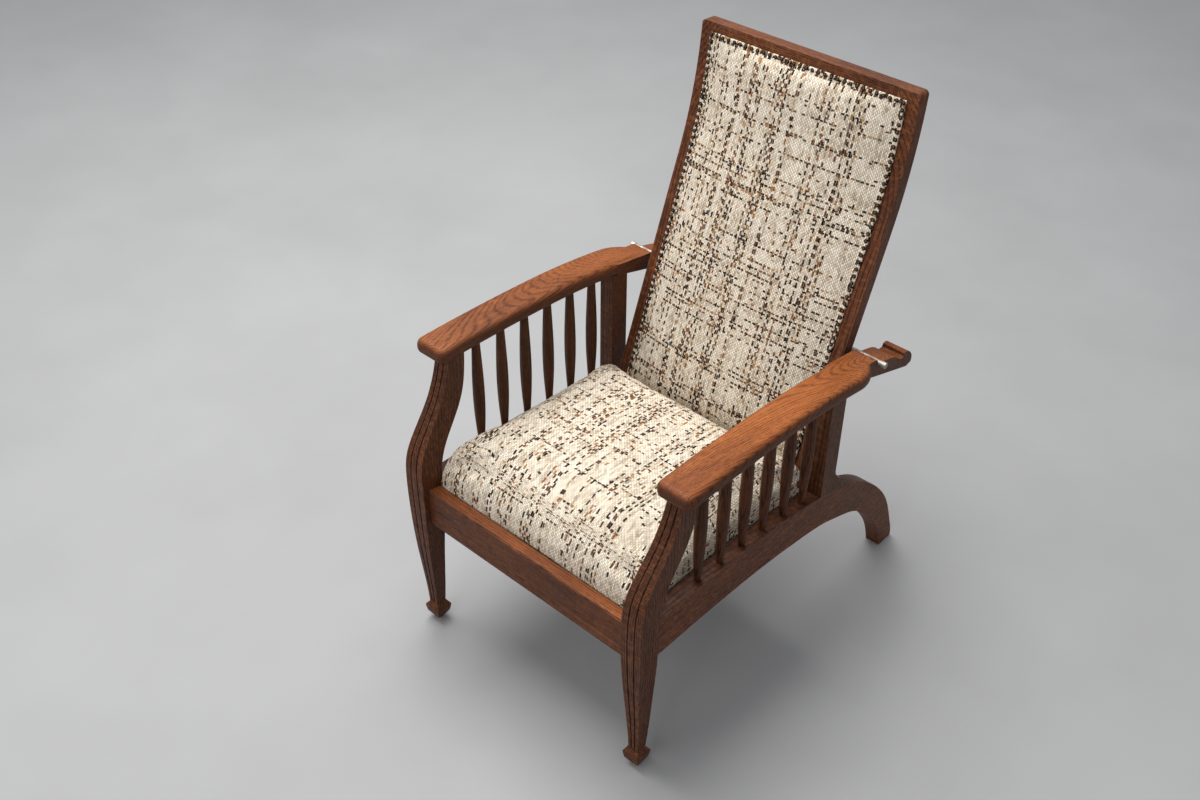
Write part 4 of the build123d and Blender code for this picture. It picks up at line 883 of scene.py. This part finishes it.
def nail_dips(x, s):
    """How far the cloth is drawn in at the nails: waves of the nails' spacing along the sides and the top,
    which die away from the row of nails."""
    line = PAD_HALF_WIDTH - NAIL_INSET
    rise = PAD_HIGH - NAIL_INSET - NAIL_START
    rise_step = rise / int(rise / NAIL_PITCH)
    run_step = 2 * line / round(2 * line / NAIL_PITCH)
    side_wave = np.cos(2 * math.pi * (s - NAIL_START) / rise_step)
    top_wave = np.cos(2 * math.pi * (x + line) / run_step)
    side_near = np.exp(-((line - np.abs(x)) / 0.009) ** 2) * ease(0.03, 0.06, s)
    top_near = np.exp(-((PAD_HIGH - NAIL_INSET - s) / 0.009) ** 2)
    return -0.0011 * (side_wave * side_near + top_wave * top_near * (1 - side_near))


def back_upholstery(finish):
    """Pad of the back: a closed grid between the frame and its crown, filled by simulation, then drawn in
    at every nail and made faintly uneven."""
    across = np.linspace(-PAD_HALF_WIDTH, PAD_HALF_WIDTH, 101)
    along = np.linspace(PAD_LOW, PAD_HIGH, 171)
    x, s = np.meshgrid(across, along)
    side_room = PAD_HALF_WIDTH - PAD_BORDER - np.abs(x)
    room = ease(0.0, 0.012, np.minimum(side_room + 0.010,
                                       np.minimum(s - PAD_LOW - 0.003, PAD_HIGH - 0.003 - s)))
    y, z = back_place(s, pad_thickness(x, s))
    under_y, under_z = back_place(s, 0.0030 * room)
    top = np.stack([x, y, z], -1)
    bottom = np.stack([x, under_y, under_z], -1)
    pad = closed_pad("back_upholstery", top, bottom, finish)
    inside = ease(0.0, 0.05, np.minimum(side_room, np.minimum(s - PAD_LOW, PAD_HIGH - PAD_BORDER - s)))
    plump(pad, np.concatenate([inside.ravel(), np.zeros(inside.size)]), PAD_SWELL)
    points = read_points(pad)
    dip = nail_dips(x, s) + 0.0005 * np.sin(x * 37 + 2) * np.sin(s * 29) * inside
    y_out, z_out = back_place(s, 1.0)
    y_in, z_in = back_place(s, 0.0)
    points[:x.size, 1] += (dip * (y_out - y_in)).ravel()
    points[:x.size, 2] += (dip * (z_out - z_in)).ravel()
    write_points(pad, points)
    lay_cloth(pad, np.concatenate([x.ravel(), x.ravel()]), np.concatenate([s.ravel(), s.ravel()]))
    refine(pad)
    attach(pad, "back")
    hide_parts("back_pad")


def straps(name, finish, body, node, runs, place):
    """Flat webs: each is a closed thin grid along its run, placed by a function of depth and height. The
    runs hold low x, high x, low depth, high depth and base height of each web."""
    points, faces, across_cloth, along_cloth = [], [], [], []
    first = 0
    for x_low, x_high, low, high, base in runs:
        upright = (high - low) > (x_high - x_low)
        counts = (9, 61) if upright else (61, 9)
        x, s = np.meshgrid(np.linspace(x_low, x_high, counts[0]), np.linspace(low, high, counts[1]))
        for level in (base + WEB_THICKNESS, base):
            y, z = place(s, level)
            points.append(np.stack([x, y, z], -1).reshape(-1, 3))
            across_cloth.append((x - x_low if upright else s - low).ravel())
            along_cloth.append((s if upright else x).ravel())
        rows, columns = x.shape
        faces += grid_faces(rows, columns, first) + grid_faces(rows, columns, first + x.size, True)
        faces += (np.array(rim_faces(rows, columns, x.size)) + first).tolist()
        first += 2 * x.size
    piece = mesh_piece(name, np.concatenate(points), faces, finish)
    lay_cloth(piece, np.concatenate(across_cloth), np.concatenate(along_cloth))
    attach(piece, body)
    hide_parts(node)
    return piece


def seat_webbing(finish):
    """Seat webs: a layer from front to rear under a layer across, evenly spaced inside the bars."""
    inner_width = 2 * SEAT_HALF_WIDTH - SEAT_BAR_WIDTH
    inner_depth = SEAT_DEPTH - SEAT_BAR_WIDTH
    margin = SEAT_BAR_WIDTH / 4
    half_web = WEB_WIDTH / 2
    lengthwise, crosswise = [], []
    for number in range(SEAT_WEBS):
        share = (number + 0.5) / SEAT_WEBS
        centre = -inner_width / 2 + share * inner_width
        lengthwise.append((centre - half_web, centre + half_web, margin, SEAT_DEPTH - margin, 0.0))
        centre = SEAT_BAR_WIDTH / 2 + share * inner_depth
        crosswise.append((margin - SEAT_HALF_WIDTH, SEAT_HALF_WIDTH - margin, centre - half_web,
                          centre + half_web, WEB_THICKNESS))
    first = straps("seat_webbing_lengthwise", finish, "frame", "seat_webs_lengthwise", lengthwise,
                   seat_place)
    second = straps("seat_webbing_across", finish, "frame", "seat_webs_across", crosswise, seat_place)


def back_webbing(finish):
    """Back webs: a layer up the frame under a layer across it, evenly spaced inside the pad's border."""
    edge = PAD_HALF_WIDTH - PAD_BORDER
    low, high = PAD_LOW + PAD_BORDER, PAD_HIGH - PAD_BORDER
    half_web = WEB_WIDTH / 2
    upright, crosswise = [], []
    for number in range(BACK_WEBS_UPRIGHT):
        centre = ((number + 0.5) / BACK_WEBS_UPRIGHT * 2 - 1) * (edge - half_web)
        upright.append((centre - half_web, centre + half_web, low, high, 0.0))
    for number in range(BACK_WEBS_ACROSS):
        centre = low + WEB_WIDTH + (high - low - 2 * WEB_WIDTH) * number / (BACK_WEBS_ACROSS - 1)
        crosswise.append((-edge, edge, centre - half_web, centre + half_web, WEB_THICKNESS))
    first = straps("back_webbing_upright", finish, "back", "back_webs_upright", upright, back_place)
    second = straps("back_webbing_across", finish, "back", "back_webs_across", crosswise, back_place)


def thin_sheet(name, finish, body, node, half_width, low, high, place, base, thickness, counts):
    """A sheet stretched flat over a frame, as a closed thin grid."""
    x, s = np.meshgrid(np.linspace(-half_width, half_width, counts[0]), np.linspace(low, high, counts[1]))
    top, bottom = (np.stack([x, *place(s, level)], -1) for level in (base + thickness, base))
    piece = closed_pad(name, top, bottom, finish)
    lay_cloth(piece, np.concatenate([x.ravel()] * 2), np.concatenate([s.ravel()] * 2))
    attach(piece, body)
    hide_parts(node)


def seat_hessian():
    """Hessian over the seat's webs."""
    finish = open_weave("hessian_seat", 0.0019, (0.27, 0.185, 0.10), (0.035, 0.022, 0.012))
    thin_sheet("seat_hessian_sheet", finish, "frame", "seat_hessian", SEAT_HALF_WIDTH, 0.0, SEAT_DEPTH,
               seat_place, 2 * WEB_THICKNESS, HESSIAN_THICKNESS, (41, 41))


def outside_cover():
    """Cover on the rear of the back, in its rebate."""
    finish = open_weave("hessian_cover", 0.0021, (0.33, 0.265, 0.18), (0.045, 0.030, 0.020))
    thin_sheet("back_outside_cover", finish, "back", "back_cover", COVER_HALF_WIDTH, COVER_LOW, COVER_HIGH,
               back_place, COVER_BASE, COVER_THICKNESS, (61, 101))


def dress(finish, *nodes):
    """Gives solids a finish."""
    for name in nodes:
        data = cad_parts[name].data
        data.materials.clear()
        data.materials.append(finish)


def both(name):
    """A left and a right node of one name."""
    return [name + "_left", name + "_right"]


def dress_wood():
    """Finishes of the oak and beech solids, each with the grain along its length."""
    legs = oak("oak_legs", "upright", (0.0, -0.20, 0.0), ring=0.0038, dark=0.72, fleck=0.7)
    rails = oak("oak_side_rails", "deep", (0.0, 0.0, -0.30), ring=0.0050, dark=0.96, fleck=0.9, painted_shade_and_dust=0.72)
    posts = oak("oak_posts", "upright", (0.0, 0.75, 0.0), ring=0.0034, dark=0.74, fleck=0.6)
    spindles = oak("oak_spindles", "upright", (0.0, 0.9, 0.0), ring=0.0030, dark=0.66, fleck=0.2)
    arms = {"dark": 0.84, "fleck": 0.15, "run": 90.0, "figure": 0.62}
    left_slant, right_slant = (tuple(math.radians(angle) for angle in pair) for pair in ((4, -8), (-3, 6)))
    left_arm = oak("oak_arm_left", "deep", (0.252, -0.12, 0.598), left_slant, ring=0.0027, painted_top_light=1.0,
                   **arms)
    right_arm = oak("oak_arm_right", "deep", (-0.31, 0.10, 0.588), right_slant, ring=0.0029, painted_top_light=0.7,
                    **arms)
    front = oak("oak_front_rail", "across", (0.0, -0.30, 0.20), ring=0.0040, dark=0.98, painted_top_light=0.60,
                fleck=0.3)
    stiles = oak("oak_stiles", "leaning", (0.0, 0.60, 0.0), ring=0.0036, dark=0.96, fleck=0.6)
    cross = oak("oak_back_rails", "across", (0.0, 0.60, 0.80), ring=0.0036, dark=1.02, fleck=0.5)
    dress(legs, *both("front_leg"))
    dress(rails, *both("side_rail"))
    dress(posts, *both("rear_post"))
    dress(left_arm, "arm_left")
    dress(right_arm, "arm_right")
    for number in range(1, 7):
        dress(spindles, "spindle_left_%d" % number, "spindle_right_%d" % number)
    dress(front, "front_rail")
    dress(stiles, *both("back_stile"))
    dress(cross, "back_top_rail", "back_bottom_rail", "rear_rail")
    across = plain_wood("beech_across", "across", (0.0, 0.1, 0.1))
    deep = plain_wood("beech_deep", "deep", (0.0, 0.1, 0.1))
    dress(across, "seat_frame_front", "seat_frame_rear", "seat_ledger_front", "corner_blocks")
    dress(deep, "seat_frame_left", "seat_frame_right", *both("seat_ledger"))


def dress_metal():
    """Finishes of the rod, hinges, screws and nails."""
    nickel = metal("worn_nickel", (0.46, 0.43, 0.39), (0.25, 0.215, 0.175), 0.40, 0.4, share=0.72)
    steel = metal("aged_steel", (0.36, 0.35, 0.33), (0.12, 0.09, 0.07), 0.34, 0.7)
    dress(nickel, "support_rod", *both("rod_collar"))
    dress(steel, *both("hinge_fixed_leaf"), *both("hinge_moving_leaf"), *both("hinge_pin"),
          "hinge_screws_fixed", "hinge_screws_moving", *both("ledger_screws"))
    dress(nail_bronze("nail_bronze"), "nails_left", "nails_right", "nails_top")


make_floor()
light_studio()
set_camera()
dress_wood()
dress_metal()
seat_cushion(tweed("tweed_seat", density=0.75))
back_upholstery(tweed("tweed_back", density=1.0))
web_finish = strap_weave("jute_web", (0.06, 0.035, 0.03))
seat_webbing(web_finish)
back_webbing(web_finish)
seat_hessian()
outside_cover()
